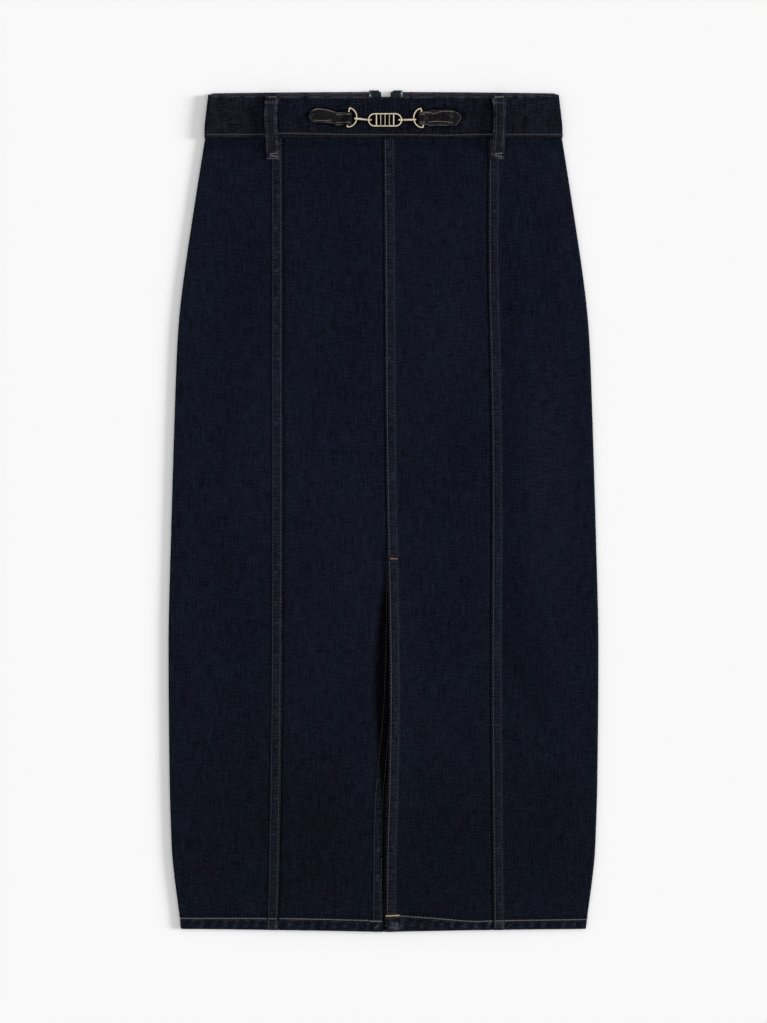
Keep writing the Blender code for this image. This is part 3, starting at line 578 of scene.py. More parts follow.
# Rust thread darkened with painted shade, for the left tab's neck.
RUST_IN_SHADE = thread_material("rust_thread_in_shade", (0.0085, 0.0042, 0.0030), (0.0055, 0.0032, 0.0030))
WARM = thread_material("warm_slate_thread", (0.062, 0.057, 0.055), (0.041, 0.036, 0.036))
STRAW = thread_material("straw_thread", (0.155, 0.140, 0.130), (0.125, 0.110, 0.112))
PALE_STRAW = thread_material("pale_straw_thread", (0.118, 0.112, 0.110), (0.080, 0.076, 0.078))
DULL_ROSE = thread_material("dull_rose_thread", (0.130, 0.100, 0.104), (0.100, 0.064, 0.066))
DULL_GOLD = thread_material("dull_gold_thread", (0.178, 0.156, 0.135), (0.130, 0.108, 0.096))
GOLD = metal_material("pale_gold", (0.82, 0.735, 0.56), (0.58, 0.48, 0.32), 0.13)
NICKEL = metal_material("satin_nickel", (0.58, 0.58, 0.57), (0.36, 0.36, 0.37), 0.28)


# ---- Making pieces.
SHARP_EDGE = math.radians(55)


def finish_piece(name, bm, materials, replaces=()):
    mesh = bpy.data.meshes.new(name)
    bm.to_mesh(mesh)
    bm.free()
    for item in materials:
        mesh.materials.append(item)
    mesh.shade_smooth()
    mesh.set_sharp_from_angle(angle=SHARP_EDGE)
    piece = bpy.data.objects.new(name, mesh)
    bpy.context.scene.collection.objects.link(piece)
    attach(piece, "skirt")
    if replaces:
        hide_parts(*replaces)
    return piece


def column_set(left, middle, right):
    """Columns of a panel, close by each edge: a share of its width and an offset."""
    a, b = left[-1], right[-1]
    between = [i / (middle + 1) for i in range(1, middle + 1)]
    made = [(0.0, offset) for offset in left]
    made += [(t, a * (1 - t) - b * t) for t in between]
    return made + [(1.0, -offset) for offset in reversed(right)]


def cloth_panel(columns, rows, edges, surface, wall, finishes=1, row_length=1.0):
    """A sheet of cloth with a wall.

    edges(row) gives its left and right edge along the cloth. surface(across,
    row, depth) gives the point that far under its face, and its wear and painted shade.
    wall(across, row) is the cloth's thickness. finishes is 2 where the wrong
    side has a material of its own, and row_length is what a row of 1 measures.
    """
    bm = bmesh.new()
    wide, tall = len(columns) - 1, len(rows) - 1
    bmesh.ops.create_grid(bm, x_segments=wide, y_segments=tall, size=0.5)
    index = bm.verts.layers.int.new("cell")
    wear_and_shade = bm.verts.layers.float.new("wear_and_shade")
    spots = []
    ends = [edges(row) for row in rows]
    for vertex in bm.verts:
        i, j = round((vertex.co.x + 0.5) * wide), round((vertex.co.y + 0.5) * tall)
        share, offset = columns[i]
        left, right = ends[j]
        vertex[index] = len(spots)
        spots.append((left + share * (right - left) + offset, rows[j]))
    raised = bmesh.ops.extrude_face_region(bm, geom=bm.faces[:])["geom"]
    inner = {item for item in raised if isinstance(item, bmesh.types.BMVert)}
    for vertex in bm.verts:
        across, row = spots[vertex[index]]
        depth = wall(across, row) if vertex in inner else 0.0
        vertex.co, vertex[wear_and_shade] = surface(across, row, depth)
    bmesh.ops.recalc_face_normals(bm, faces=bm.faces)
    weave = bm.loops.layers.uv.new("weave")
    for face in bm.faces:
        if all(vertex in inner for vertex in face.verts):
            face.material_index = finishes - 1
        for loop in face.loops:
            across, row = spots[loop.vert[index]]
            loop[weave].uv = (across, row * row_length)
    bm.verts.layers.int.remove(index)
    return bm


def whole_width(row):
    """Edges of cloth whose columns are shares of its width."""
    return (0.0, 1.0)


def map_by_place(bm, place=lambda co: (co.x, co.y)):
    """Lays the weave by place, on cloth whose columns are not in metres."""
    weave = bm.loops.layers.uv["weave"]
    for face in bm.faces:
        for corner in face.loops:
            corner[weave].uv = place(corner.vert.co)


# ---- Front and back panels. Across is x on the cloth, and a row is its height
# before the hem's bow.
NEAR_ROW = 0.0021  # from a felled seam's edge to its two stitch rows
FAR_ROW = 0.0097
WELT_REACH = 0.018  # from that edge to where the seam no longer shows
BORDER_NEAR = 0.0020  # from the slit's left edge to its border's two stitch rows
BORDER_FAR = 0.0093
BORDER_FELL = 0.00035
HEM_REACH = HEM_DEPTH + 0.012  # from the edge to where the hem no longer shows
HEM_ROW_BACK = 0.0100  # from the edge to the stitch row on the back
ZIP_ROW = 0.0060  # from the zip's opening to the row that holds it
WELT_COLUMNS = [0.0, 0.0003, 0.0007, 0.0012, 0.0017, 0.0021, 0.0026, 0.0033, 0.0046, 0.0060]
WELT_COLUMNS += [0.0074, 0.0086, 0.0093, 0.0097, 0.0102, 0.0106, 0.0111, 0.0116, 0.0124]
WELT_COLUMNS += [0.0140, 0.0165]
PLAIN_COLUMNS = [0.0, 0.0004, 0.0010, 0.0018, 0.0030, 0.0050, 0.0080]
HEM_RISES = [0.0, 0.0003, 0.0008, 0.0016, 0.0030, 0.0046, 0.0062, 0.0078, 0.0092, 0.0100]
HEM_RISES += [0.0108, 0.0116, 0.0124, 0.0134, 0.0146, 0.0160]
FOLD_REACH = BODY_FOLD * math.pi / 2
FOLD_COLUMNS = [FOLD_REACH * i / 8 for i in range(9)] + [0.0045, 0.0070, 0.0105]

# x and height of the hem's stitch row, left and right of the slit.
HEM_ROW_LEFT = ((-0.2070, -0.4151), (-0.1107, -0.4151), (-0.0607, -0.4159), (-0.0157, -0.4171))
HEM_ROW_RIGHT = (
    (0.0158, -0.4122), (0.0587, -0.4154), (0.0903, -0.4180), (0.1137, -0.4174), (0.2066, -0.4162),
)


def half_width(y):
    return read(BODY_OUTLINE, y)


def side_end(y):
    return half_width(y) - BODY_FOLD + FOLD_REACH


def panel_rows(pitch):
    """Rows from hem to waist seam, closer at the hem and at the slit's top."""
    rows = [HEM_SIDE + rise for rise in HEM_RISES]
    low, high = HEM_SIDE + 0.0180, WAIST_SEAM - HALF_GAP
    rows += spread(low, high - 0.003, int((high - low) / pitch))
    rows += [high - 0.0015, high - 0.0005, high]
    rows += [SLIT_TOP - 0.002, SLIT_TOP - 0.0001, SLIT_TOP + 0.0001, SLIT_SHUT]
    return sorted(rows)


FRONT_ROWS = panel_rows(0.0028)
BACK_ROWS = panel_rows(0.0052)


def hem_row(x):
    return read(HEM_ROW_LEFT if x < 0.006 else HEM_ROW_RIGHT, x)


def hem_look(x, row, seed):
    """The turned hem's roping, stitch groove, edge and wear: lift and fade."""
    rise = row - HEM_SIDE
    if rise > HEM_REACH:
        return 0.0, 0.0
    stitched = hem_row(x) - hem_line(x)
    wave = math.sin(2 * math.pi * (x - 0.45 * rise) / 0.0112 + 2.2 * ripple(x, 0, 0.045, 4.0))
    rope = wave * hump(rise - 0.45 * stitched, 0.62 * stitched)
    lift = 0.00026 * rope - 0.00030 * hump(rise - stitched, 0.0015)
    lift += 0.00018 * hump(rise - stitched - 0.0022, 0.0016)
    lift -= 0.00050 * fall(rise, 0.0, 0.0010)
    rub = 0.30 * fall(rise, 0.0004, 0.0018) + 0.30 * max(0.0, rope)
    rub += 0.18 * hump(rise - stitched + 0.0016, 0.0014)
    rub *= 1.6 + 0.8 * ease(x, 0.010, 0.030) - 1.0 * ease(x, 0.100, 0.130)
    return lift, rub * max(0.0, 0.6 + 0.7 * ripple(x, row, 0.012, seed))


def welt_look(d, y, seed, near=NEAR_ROW, far=FAR_ROW, raised=FELL):
    """A felled seam by the distance d from its edge: lift and fade."""
    lift = raised * fall(d, WELT_WIDTH, WELT_WIDTH + WELT_SLOPE)
    lift -= 0.00045 * fall(d, 0.0, 0.0010)
    if d > WELT_REACH:
        return lift, 0.0
    pull = 0.5 + 0.5 * math.cos(2 * math.pi * y / 0.0034 + seed)
    for place in (near, far):
        lift -= (0.00020 + 0.00008 * pull) * hump(d - place, 0.0015)
    inside = ease(d, near, near + 0.0018) * fall(d, far - 0.0018, far)
    pucker = ripple(d * 2.0, y, 0.0055, seed) + 0.7 * ripple(d * 2.0, y, 0.014, seed + 3)
    lift += 0.00028 * pucker * inside
    lift += 0.00014 * ripple(0.0, y, 0.010, seed + 9) * fall(d, 0.011, WELT_REACH)
    rub = 0.30 * fall(d, 0.0003, 0.0013) * (0.6 + 0.6 * ripple(0.0, y, 0.012, seed))
    rub += inside * (0.07 + 0.34 * max(0.0, pucker))
    return lift, max(0.0, rub)


def ditch(d):
    """A panel's plain edge rolls down into the seam."""
    return -0.00075 * fall(d, 0.0, 0.0030)


def ditch_shade(d):
    """Painted shade down in that roll."""
    return -0.45 * fall(d, 0.0006, 0.0020)


# Soft patches of the front where the dye is deeper (below 0) or thinner:
# middle, reach across and along, amount.
DYE_PATCHES = (
    ((-0.120, -0.330), (0.110, 0.130), -0.20), ((0.040, -0.350), (0.120, 0.110), -0.22),
    ((0.160, -0.340), (0.080, 0.110), -0.14), ((0.000, 0.350), (0.190, 0.050), -0.14),
    ((0.060, 0.110), (0.050, 0.190), 0.020), ((0.150, 0.060), (0.060, 0.160), 0.015),
    ((-0.150, 0.060), (0.060, 0.160), 0.015), ((0.030, -0.090), (0.060, 0.060), -0.05),
    ((-0.050, 0.120), (0.050, 0.110), -0.04), ((0.129, 0.000), (0.024, 0.480), -0.15),
    ((0.172, 0.120), (0.034, 0.420), 0.030), ((-0.175, 0.240), (0.060, 0.160), 0.018),
    ((-0.175, -0.090), (0.060, 0.100), 0.018), ((0.068, -0.030), (0.034, 0.120), 0.036),
)


# Painted shade in the soft troughs: how much for each metre of depth, and the most of it.
TROUGH_SHADE_PER_METRE = 130  # of a trough's depth
MOST_TROUGH_SHADE = 0.16  # the most that a trough is deeper
RIDGE_WEAR = 0.012  # the most that a ridge is thinner


def dye(x, y):
    total = 0.0
    for (mx, my), (rx, ry), amount in DYE_PATCHES:
        away = math.hypot((x - mx) / rx, (y - my) / ry)
        total += amount * fall(away, 0.15, 1.0)
    return total


def front_tone(x, y):
    """Dye patches, painted shade in soft troughs, under the band and by the loops, thinner on
    ridges.
    """
    trough = crease_depth(FRONT_CREASES, x, y)
    # Painted shade in the troughs, and a little wear on the ridges.
    trough_shade = max(-RIDGE_WEAR, min(trough * TROUGH_SHADE_PER_METRE, MOST_TROUGH_SHADE))
    # Painted shade under the waistband's lower edge.
    waist = 0.22 * hump(WAIST_SEAM - y - 0.0065, 0.0065)
    return dye(x, y) - trough_shade - waist + beside_loop(x, y)


# The deep painted shade in the slit: how deep, and height and x of where it starts.
SLIT_DARK = 0.93
SLIT_SHADE = (
    (-0.4080, -0.0012), (-0.3470, -0.0038), (-0.2960, -0.0027), (-0.2630, -0.0043),
    (-0.1940, -0.0112), (-0.1430, -0.0104), (-0.0920, -0.0036), (-0.0500, 0.0026),
)


def slit_shade(x, y):
    if y > SLIT_TOP + 0.002 or x < -0.014:
        return 0.0
    start = read(SLIT_SHADE, y)
    soft = 0.0016 + 0.0040 * ease(y, -0.2700, -0.2100)
    return -SLIT_DARK * ease(x, start - 0.0010, start + soft)


LOOP_SHADE = 0.72


def beside_loop(x, y):
    """The dark shade that each belt loop throws on its left."""
    shade = 0.0
    if y > 0.3560:
        for _, table in LOOPS:
            away = read(table, y) - x
            if -0.012 < away < 0.006:
                shade -= LOOP_SHADE * fall(away, 0.0004, 0.0040) * ease(y, 0.3570, 0.3620)
    return shade


def blend_tone(tone, rub):
    """Wear where there is some, and elsewhere the dye's depth and the painted shade."""
    return rub if rub > 0.04 else tone + rub


def front_relief(x, y):
    """What the front's cloth does away from the seams."""
    wave = 0.00034 * ripple(x, y * 0.6, 0.070, 1.0) + 0.00016 * ripple(x, y * 0.7, 0.026, 2.0)
    pinch = 0.00080 * fall(WAIST_SEAM - y, 0.0, 0.006)
    return wave - pinch - crease_depth(FRONT_CREASES, x, y)


def back_relief(x, y):
    """The back lies on the floor, so its soft folds only lift off it."""
    wave = 0.5 + 0.5 * ripple(x, y * 0.6, 0.080, 8.0)
    return -0.00030 * wave - crease_depth(BACK_CREASES, x, y)


def body_point(x, row, lift):
    return front_point(half_width(row), BODY_FOLD, BODY_CROWN, x, with_hem(x, row), lift)


def body_back_point(x, row, lift):
    return back_point(half_width(row), BODY_FOLD, x, with_hem(x, row), lift)


def boxed(x, y, left, right, low, high, soft=0.0012):
    """1 inside a small box on the cloth, soft at its edges."""
    wide = ease(x, left, left + soft) * fall(x, right - soft, right)
    return wide * ease(y, low, low + soft) * fall(y, high - soft, high)


def hem_shade(x, row):
    """Painted shade beside the hem's stitch row and its groove, in uneven upright bars."""
    rise = row - HEM_SIDE
    if rise > HEM_REACH:
        return 0.0
    off = rise - (hem_row(x) - hem_line(x))
    bars = 0.6 + 0.8 * ripple(x, 0.0, 0.0065, 12.0)
    below = 0.42 * hump(off + 0.0034, 0.0034) * max(0.0, bars)
    above = 0.30 * hump(off - 0.0032, 0.0024)
    return -below - above


def crossing_rub(d, row, seed):
    """Wear where a felled seam crosses the hem: its two stitch rows go pale."""
    rise = row - HEM_SIDE
    if rise > 0.012:
        return 0.0
    lines = hump(d - NEAR_ROW, 0.0024) + 0.8 * hump(d - FAR_ROW, 0.0024)
    specks = max(0.0, 0.75 + 0.9 * ripple(d, row, 0.0026, seed))
    return 0.75 * min(1.0, lines + 0.2) * specks * fall(rise, 0.0060, 0.0110) * (d < 0.0115)


def hem_thickness(row):
    return HEM_FELL * fall(row, HEM_SIDE + HEM_DEPTH, HEM_SIDE + HEM_DEPTH + WELT_SLOPE)


def welt_thickness(d):
    return FELL * fall(d, WELT_WIDTH, WELT_WIDTH + WELT_SLOPE)


def side_surface(toward):
    """The outer front piece on one side, felled over the piece next to it."""

    def surface(x, row, depth):
        d = abs(x - read(SEAMS[toward], row))
        lift, rub = welt_look(d, row, 11.0 + toward)
        side = side_end(row) - abs(x)
        hem_lift, hem_rub = hem_look(x, row, 3.0)
        rub += 0.10 * fall(side, 0.001, 0.006) * (0.6 + 0.8 * ripple(x, row, 0.02, 5.0))
        rub = max(rub, hem_rub, crossing_rub(d, row, 14.0))
        lift += hem_lift + front_relief(x, row) * ease(side, 0.0, 0.012)
        tone = front_tone(x, row) + hem_shade(x, row)
        return body_point(x, row, lift - depth), blend_tone(tone, rub)

    return surface


def centre_left_surface(x, row, depth):
    """The piece left of the slit, whose border lies in the slit's shade."""
    inset = slit_left_edge(row) - x
    d = x - read(LEFT_SEAM, row)
    lift = ditch(d) + left_dip(inset, row)
    rub = 0.0
    if row < SLIT_SHUT:
        border, rub = welt_look(inset, row, 21.0, BORDER_NEAR, BORDER_FAR, BORDER_FELL)
        lift += border - 0.00025 * fall(inset, 0.0, 0.0006)
    else:
        lift += ditch(inset)
    hem_lift, hem_rub = hem_look(x, row, 5.0)
    corner = boxed(inset, row, -0.001, 0.0150, HEM_SIDE - 0.001, HEM_SIDE + 0.0080)
    curl = hump(math.hypot(inset, row - HEM_SIDE) - 0.0085, 0.0016)
    rub = max(rub, hem_rub, 0.9 * corner * curl)
    shut = ease(row, SLIT_SHUT, SLIT_EASED) + fall(row, HEM_SIDE, SLIT_SHUT)
    lift += hem_lift + front_relief(x, row) * max(ease(inset, 0.010, 0.030), min(shut, 1.0) * 0.4)
    tone = front_tone(x, row) + ditch_shade(d) + hem_shade(x, row)
    if row > SLIT_SHUT:
        tone += ditch_shade(inset)
    shade = slit_shade(x, row)
    return body_point(x, row, lift - depth), blend_tone(tone + shade, rub * (1 + shade))


def centre_right_surface(x, row, depth):
    """The piece right of the slit, felled over the left one down its edge."""
    d = x - slit_right_edge(row)
    lift, rub = welt_look(d, row, 31.0)
    lift += right_lift(d, row) + ditch(read(RIGHT_SEAM, row) - x)
    hem_lift, hem_rub = hem_look(x, row, 6.0)
    corner = boxed(d, row, -0.001, 0.0140, HEM_SIDE + 0.0015, HEM_SIDE + 0.0105)
    corner *= 0.82 + 0.30 * ripple(x, row, 0.0040, 15.0)
    rub = max(rub, hem_rub, corner)
    lift += hem_lift + front_relief(x, row) * ease(d, 0.004, 0.020)
    tone = front_tone(x, row) + ditch_shade(read(RIGHT_SEAM, row) - x) + hem_shade(x, row)
    return body_point(x, row, lift - depth), blend_tone(tone, rub)


def zip_edge(row):
    """Half the opening between the back pieces: a seam below the zip."""
    opening = ease(row, ZIP_END, ZIP_END + ZIP_TAPER)
    return SEWN_SHUT + (ZIP_HALF_OPENING - SEWN_SHUT) * opening


def back_surface(x, row, depth):
    """Both back pieces, with a plain hem and the rows that hold the zip."""
    d = abs(x - ZIP_MIDDLE) - zip_edge(row)
    side = side_end(row) - abs(x)
    hem_lift, rub = hem_look(x, row, 9.0)
    groove = ditch(d) - 0.00018 * hump(d - ZIP_ROW, 0.0014) * ease(row, ZIP_END - 0.010, ZIP_END)
    rub = max(rub, 0.25 * fall(d, 0.0003, 0.0014))
    lift = min(0.0, hem_lift) + groove + back_relief(x, row) * ease(side, 0.0, 0.012)
    return body_back_point(x, row, lift - depth), rub


def cut_area(edges, rows):
    """The flat area between a piece's two edges."""
    total = 0.0
    for low, high in zip(rows, rows[1:]):
        a, b = edges(low), edges(high)
        total += (a[1] - a[0] + b[1] - b[0]) / 2 * (high - low)
    return total


def declare_cut(edges, rows):
    wide = max(b - a for a, b in map(edges, rows))
    tall = rows[-1] - rows[0]
    area = min(cut_area(edges, rows), wide * tall)


def make_panel(node, columns, rows, edges, surface, wall):
    bm = cloth_panel(columns, rows, edges, surface, wall, 2)
    piece = finish_piece(node + "_cloth", bm, (DENIM_FACE, DENIM_WRONG), (node,))
    declare_cut(edges, rows)


def side_edges(toward, inner):
    """Edges of a piece from inner(row) out to its side fold."""
    return lambda row: tuple(sorted((inner(row), toward * side_end(row))))


def make_front():
    for side, toward in SIDES:
        seam = SEAMS[toward]
        order = (FOLD_COLUMNS, WELT_COLUMNS)[::-toward]
        make_panel(
            f"front_side_{side}",
            column_set(order[0], 26, order[1]),
            FRONT_ROWS,
            side_edges(toward, lambda row: read(seam, row) + toward * SEWN_SHUT),
            side_surface(toward),
            lambda x, row: DENIM + welt_thickness(abs(x - read(seam, row))) + hem_thickness(row),
        )
    make_panel(
        "front_centre_left",
        column_set(PLAIN_COLUMNS, 24, WELT_COLUMNS),
        FRONT_ROWS,
        lambda row: (read(LEFT_SEAM, row) + SEWN_SHUT, slit_left_edge(row)),
        centre_left_surface,
        lambda x, row: DENIM
        + welt_thickness(slit_left_edge(row) - x) * fall(row, SLIT_SHUT, SLIT_EASED)
        + hem_thickness(row),
    )
    make_panel(
        "front_centre_right",
        column_set(WELT_COLUMNS, 24, PLAIN_COLUMNS),
        FRONT_ROWS,
        lambda row: (slit_right_edge(row), read(RIGHT_SEAM, row) - SEWN_SHUT),
        centre_right_surface,
        lambda x, row: DENIM + welt_thickness(x - slit_right_edge(row)) + hem_thickness(row),
    )


def make_back():
    for side, toward in SIDES:
        order = (FOLD_COLUMNS, PLAIN_COLUMNS)[::-toward]
        make_panel(
            f"back_{side}",
            column_set(order[0], 28, order[1]),
            BACK_ROWS,
            side_edges(toward, lambda row: ZIP_MIDDLE + toward * zip_edge(row)),
            back_surface,
            lambda x, row: DENIM + hem_thickness(row),
        )


# ---- Waistband and belt loops.
BAND_LOW = WAIST_SEAM + HALF_GAP
BAND_STITCH = 0.0028  # from the band's lower edge up to its stitch row
BAND_REACH = BAND_FOLD * math.pi / 2
BAND_TALL = 0.0420


def band_side(y):
    return band_half(y) - BAND_FOLD + BAND_REACH


def band_half(y):
    return read(BAND_OUTLINE, y)


def band_look(x, y, top, seed):
    """The band's edges, stitch groove and soft waves: lift, and wear with a painted highlight on
    the top fold.
    """
    up, down = y - BAND_LOW, top - y
    lift = -0.00045 * fall(up, 0.0, 0.0012) - 0.00060 * fall(down, 0.0, 0.0014)
    lift -= 0.00022 * hump(up - BAND_STITCH, 0.0015)
    lift += 0.00016 * ripple(x, y, 0.011, seed) * hump(up - 0.002, 0.007)
    lift += 0.00022 * ripple(x, y, 0.035, seed + 1)
    # A painted highlight along the folded top edge.
    rub = 0.62 * fall(down, 0.0009, 0.0022) * (0.75 + 0.45 * ripple(x, 0, 0.014, seed))
    rub += 0.12 * fall(up, 0.0003, 0.0014)
    return lift, max(0.0, rub)


def in_link(x, y):
    """1 inside the middle link's outline, 0 outside, soft on the way."""
    straight = LINK_HALF_LENGTH - LINK_END_RADIUS
    dx = max(abs(x - LINK_MIDDLE[0]) - straight, 0.0)
    return 1 - ease(math.hypot(dx, y - LINK_MIDDLE[1]), LINK_END_RADIUS, LINK_END_RADIUS + 0.0022)


def shade_round_hardware(x, y):
    """The close shade painted round the tabs, the rings and the link."""
    if abs(x) > 0.084 or not 0.386 < y < 0.418:
        return 0.0
    shades = [0.62 * in_link(x, y)]
    for _, table, ring, _ in TABS:
        ends = sorted((table[0][0], table[-1][0]))
        if ends[0] - 0.002 < x < ends[1] + 0.010:
            low, high = both(table, x)
            shades.append(0.82 * fall(y - high, 0.0010, 0.0040) * ease(y, low, high))
            shades.append(0.55 * fall(low - y, 0.0006, 0.0022) * fall(y, low, high))
        across, up = (x - ring[0]) * (-1 if ring[0] > 0 else 1), y - ring[1]
        reach = math.hypot(across / (RING_RADIUS + 0.001), up / (RING_HALF_HEIGHT + 0.001))
        if across > 0:
            shades.append(0.55 * fall(reach, 0.98, 1.12))
    if abs(x - LINK_MIDDLE[0]) < 0.030:
        shades.append(0.50 * hump(y - LINK_MIDDLE[1] + 0.0004, 0.0042))
    return -max(shades)


def front_band_surface(x, y, depth):
    lift, rub = band_look(x, y, band_top(x, FRONT_TOP_SIDE, FRONT_TOP_MIDDLE), 41.0)
    lift *= ease(band_side(y) - abs(x), 0.0, 0.008)
    tone = shade_round_hardware(x, y) + beside_loop(x, y) + 0.034 * ease(x, 0.040, 0.110)
    tone += 0.060 * ease(-x, 0.118, 0.145)
    place = front_point(band_half(y), BAND_FOLD, BAND_CROWN, x, y, lift - depth)
    return place, blend_tone(tone, rub)


def back_band_surface(x, y, depth):
    lift, rub = band_look(x, y, band_top(x, BACK_TOP_SIDE, BACK_TOP_MIDDLE), 51.0)
    lift = min(lift, 0.0) * ease(band_side(y) - abs(x), 0.0, 0.008)
    return back_point(band_half(y), BAND_FOLD, x, y, lift - depth), rub


def make_band_piece(node, ends, columns, tops, surface):
    """A stretch of waistband; its rows are shares of its height."""
    edge = [0.0, 0.0004, 0.0010, 0.0018, 0.0028, 0.0038, 0.0052]
    shares = [d / BAND_TALL for d in edge] + spread(0.16, 0.84, 34)
    shares += [1 - d / BAND_TALL for d in reversed(edge)]

    def placed(x, share, depth):
        return surface(x, BAND_LOW + share * (band_top(x, *tops) - BAND_LOW), depth)

    bm = cloth_panel(columns, shares, ends, placed, lambda x, share: BAND, 2, BAND_TALL)
    piece = finish_piece(node + "_cloth", bm, (DENIM_BAND, BAND_WRONG), (node,))
    a, b = ends(0.5)


def band_ends(left, right):
    """Ends of a stretch of band; None is the side fold."""

    def ends(share):
        side = band_side(BAND_LOW + share * (TOP_CORNER - BAND_LOW))
        return (-side if left is None else left, side if right is None else right)

    return ends


def make_waistband():
    reach = [BAND_REACH * i / 9 for i in range(10)] + [0.0070, 0.0095, 0.0125]
    make_band_piece(
        "waistband_front",
        band_ends(None, None),
        column_set(reach, 300, reach),
        (FRONT_TOP_SIDE, FRONT_TOP_MIDDLE),
        front_band_surface,
    )
    pair = (
        ("left", band_ends(None, ZIP_MIDDLE - ZIP_HALF_OPENING), (reach, PLAIN_COLUMNS)),
        ("right", band_ends(ZIP_MIDDLE + ZIP_HALF_OPENING, None), (PLAIN_COLUMNS, reach)),
    )
    for side, ends, order in pair:
        make_band_piece(
            f"waistband_back_{side}",
            ends,
            column_set(order[0], 60, order[1]),
            (BACK_TOP_SIDE, BACK_TOP_MIDDLE),
            back_band_surface,
        )


LOOP_TOP_TURN = 0.4160  # where its folded-under ends stop
LOOP_BOTTOM_TURN = 0.3655
LOOP_PRESSED = 0.00035  # how far its whole face is pressed down
LOOP_PLACE = 0.112  # x where the cloth under a loop is measured
# Its two stitch rows, as a share of its width.
LOOP_ROWS = {"left": (0.17, 0.80), "right": (0.27, 0.83)}
# Share of the width, half width and amount of each pale ridge.
LOOP_RIDGES = {
    "left": ((0.08, 0.05, 0.25), (0.28, 0.04, 0.18), (0.56, 0.04, 0.14), (0.84, 0.05, 0.50)),
    "right": ((0.07, 0.05, 0.60), (0.28, 0.04, 0.50), (0.62, 0.05, 0.10), (0.84, 0.05, 0.42)),
}


def loop_seat(y):
    """What a loop lies on: the felled seam below the band, then the band."""
    on_welt = front_point(half_width(y), BODY_FOLD, BODY_CROWN, LOOP_PLACE, y, FELL)[2]
    on_waist = front_point(band_half(y), BAND_FOLD, BAND_CROWN, LOOP_PLACE, y, 0.0)[2]
    return on_welt + (on_waist - on_welt) * ease(y, WAIST_SEAM - 0.012, WAIST_SEAM)


def loop_surface(side, table):
    rows, seed = LOOP_ROWS[side], 61.0 + len(side)

    def surface(across, y, depth):
        left, right = both(table, y)
        x = left + across * (right - left)
        along = (y - LOOP_BOTTOM_TACK) / (LOOP_TOP_TACK - LOOP_BOTTOM_TACK)
        bow = 1 - abs(2 * min(max(along, 0.0), 1.0) - 1) ** 4
        edge = min(across, 1 - across) * (right - left)
        lift = -0.00070 * fall(edge, 0.0, 0.0011) ** 1.5
        for place in rows:
            lift -= 0.00028 * hump((across - place) * (right - left), 0.0013)
        middle = across * (1 - across) * 4
        lift += 0.00022 * ripple(x, y, 0.006, seed) * middle
        lift += 0.00012 * math.cos(across * 34.0 + 3.0 * ripple(0.0, y, 0.02, seed)) * middle
        ends = ease(y, LOOP_TOP_TURN, LOOP_TOP_TURN + 0.0012)
        ends += 1 - ease(y, LOOP_BOTTOM_TURN - 0.0012, LOOP_BOTTOM_TURN)
        lift += 0.00030 * ends - 0.00035 * hump(y - LOOP_TOP_TACK, 0.0022)
        lift -= 0.00035 * hump(y - LOOP_BOTTOM_TACK, 0.0024)
        tip = min(table[-1][0] - y, y - table[0][0])
        lift -= 0.00060 * fall(tip, 0.0, 0.0010)
        worn = 0.22 if across > 0.5 else 0.30
        rub = worn * fall(edge, 0.0004, 0.0014) * (0.7 + 0.6 * ripple(x, y, 0.008, seed))
        for place, half, amount in LOOP_RIDGES[side]:
            uneven = 0.75 + 0.8 * ripple(place, y, 0.011, seed)
            rub += amount * hump(across - place, 2 * half) * max(0.0, uneven)
        rub += 0.35 * hump(y - LOOP_TOP_TURN, 0.0014)
        rub += 0.10 * middle * max(0.0, ripple(x, y, 0.005, seed))
        rub = max(rub, 0.6 * fall(y, table[0][0], table[0][0] + 0.0022))
        thick = LOOP - LOOP_PRESSED + lift
        z = loop_seat(y) + SEAM_GAP + LOOP_RISE * bow + thick
        return (x, y, z - min(depth, thick)), max(0.0, rub)

    return surface


def make_belt_loops():
    edge = [0.0, 0.02, 0.05, 0.09]
    inner = [i / 32 for i in range(4, 29)]
    for side, table in LOOPS:
        shares = sorted(edge + inner + [1 - e for e in edge] + list(LOOP_ROWS[side]))
        low, high = table[0][0], table[-1][0]
        rows = spread(low, high, 72) + [low + 0.0004, high - 0.0004, LOOP_TOP_TURN + 0.0006]
        bm = cloth_panel(
            [(0.0, share) for share in shares],
            sorted(rows),
            whole_width,
            loop_surface(side, table),
            lambda across, row: LOOP,
        )
        map_by_place(bm)
        name = f"belt_loop_{side}"
        piece = finish_piece(name + "_cloth", bm, (DENIM_LOOP,), (name,))


# ---- Tabs: each is a strip folded round the ring's bar and stitched to itself.
TAB_LOW = BAND_CROWN + SEAM_GAP
TAB_STEPS = 40
TAB_TURNS = 13  # points round the bar


def tab_path(table, ring, past_bar, toward):
    """The strip's middle line, upper end to lower end: x and z."""
    half = TAB_LAYER / 2
    start = table[0][0]
    upper, lower = TAB_LOW + 1.5 * TAB_LAYER, TAB_LOW + half
    tall = WIRE + SEAM_GAP + half
    wide = past_bar - half
    points = []
    for i in range(TAB_STEPS):
        x = start + (ring[0] - toward * 0.0004 - start) * i / (TAB_STEPS - 1)
        climb = ease(toward * (x - ring[0]), -0.0075, -0.0010)
        points.append((x, upper + (BAR_HEIGHT + tall - upper) * climb))
    for i in range(1, TAB_TURNS + 1):
        angle = math.pi / 2 - math.pi * i / (TAB_TURNS + 1)
        x = ring[0] + toward * wide * math.cos(angle)
        points.append((x, BAR_HEIGHT + tall * math.sin(angle)))
    for i in range(TAB_STEPS):
        x = ring[0] + (start - ring[0]) * i / (TAB_STEPS - 1)
        points.append((x, lower))
    return points


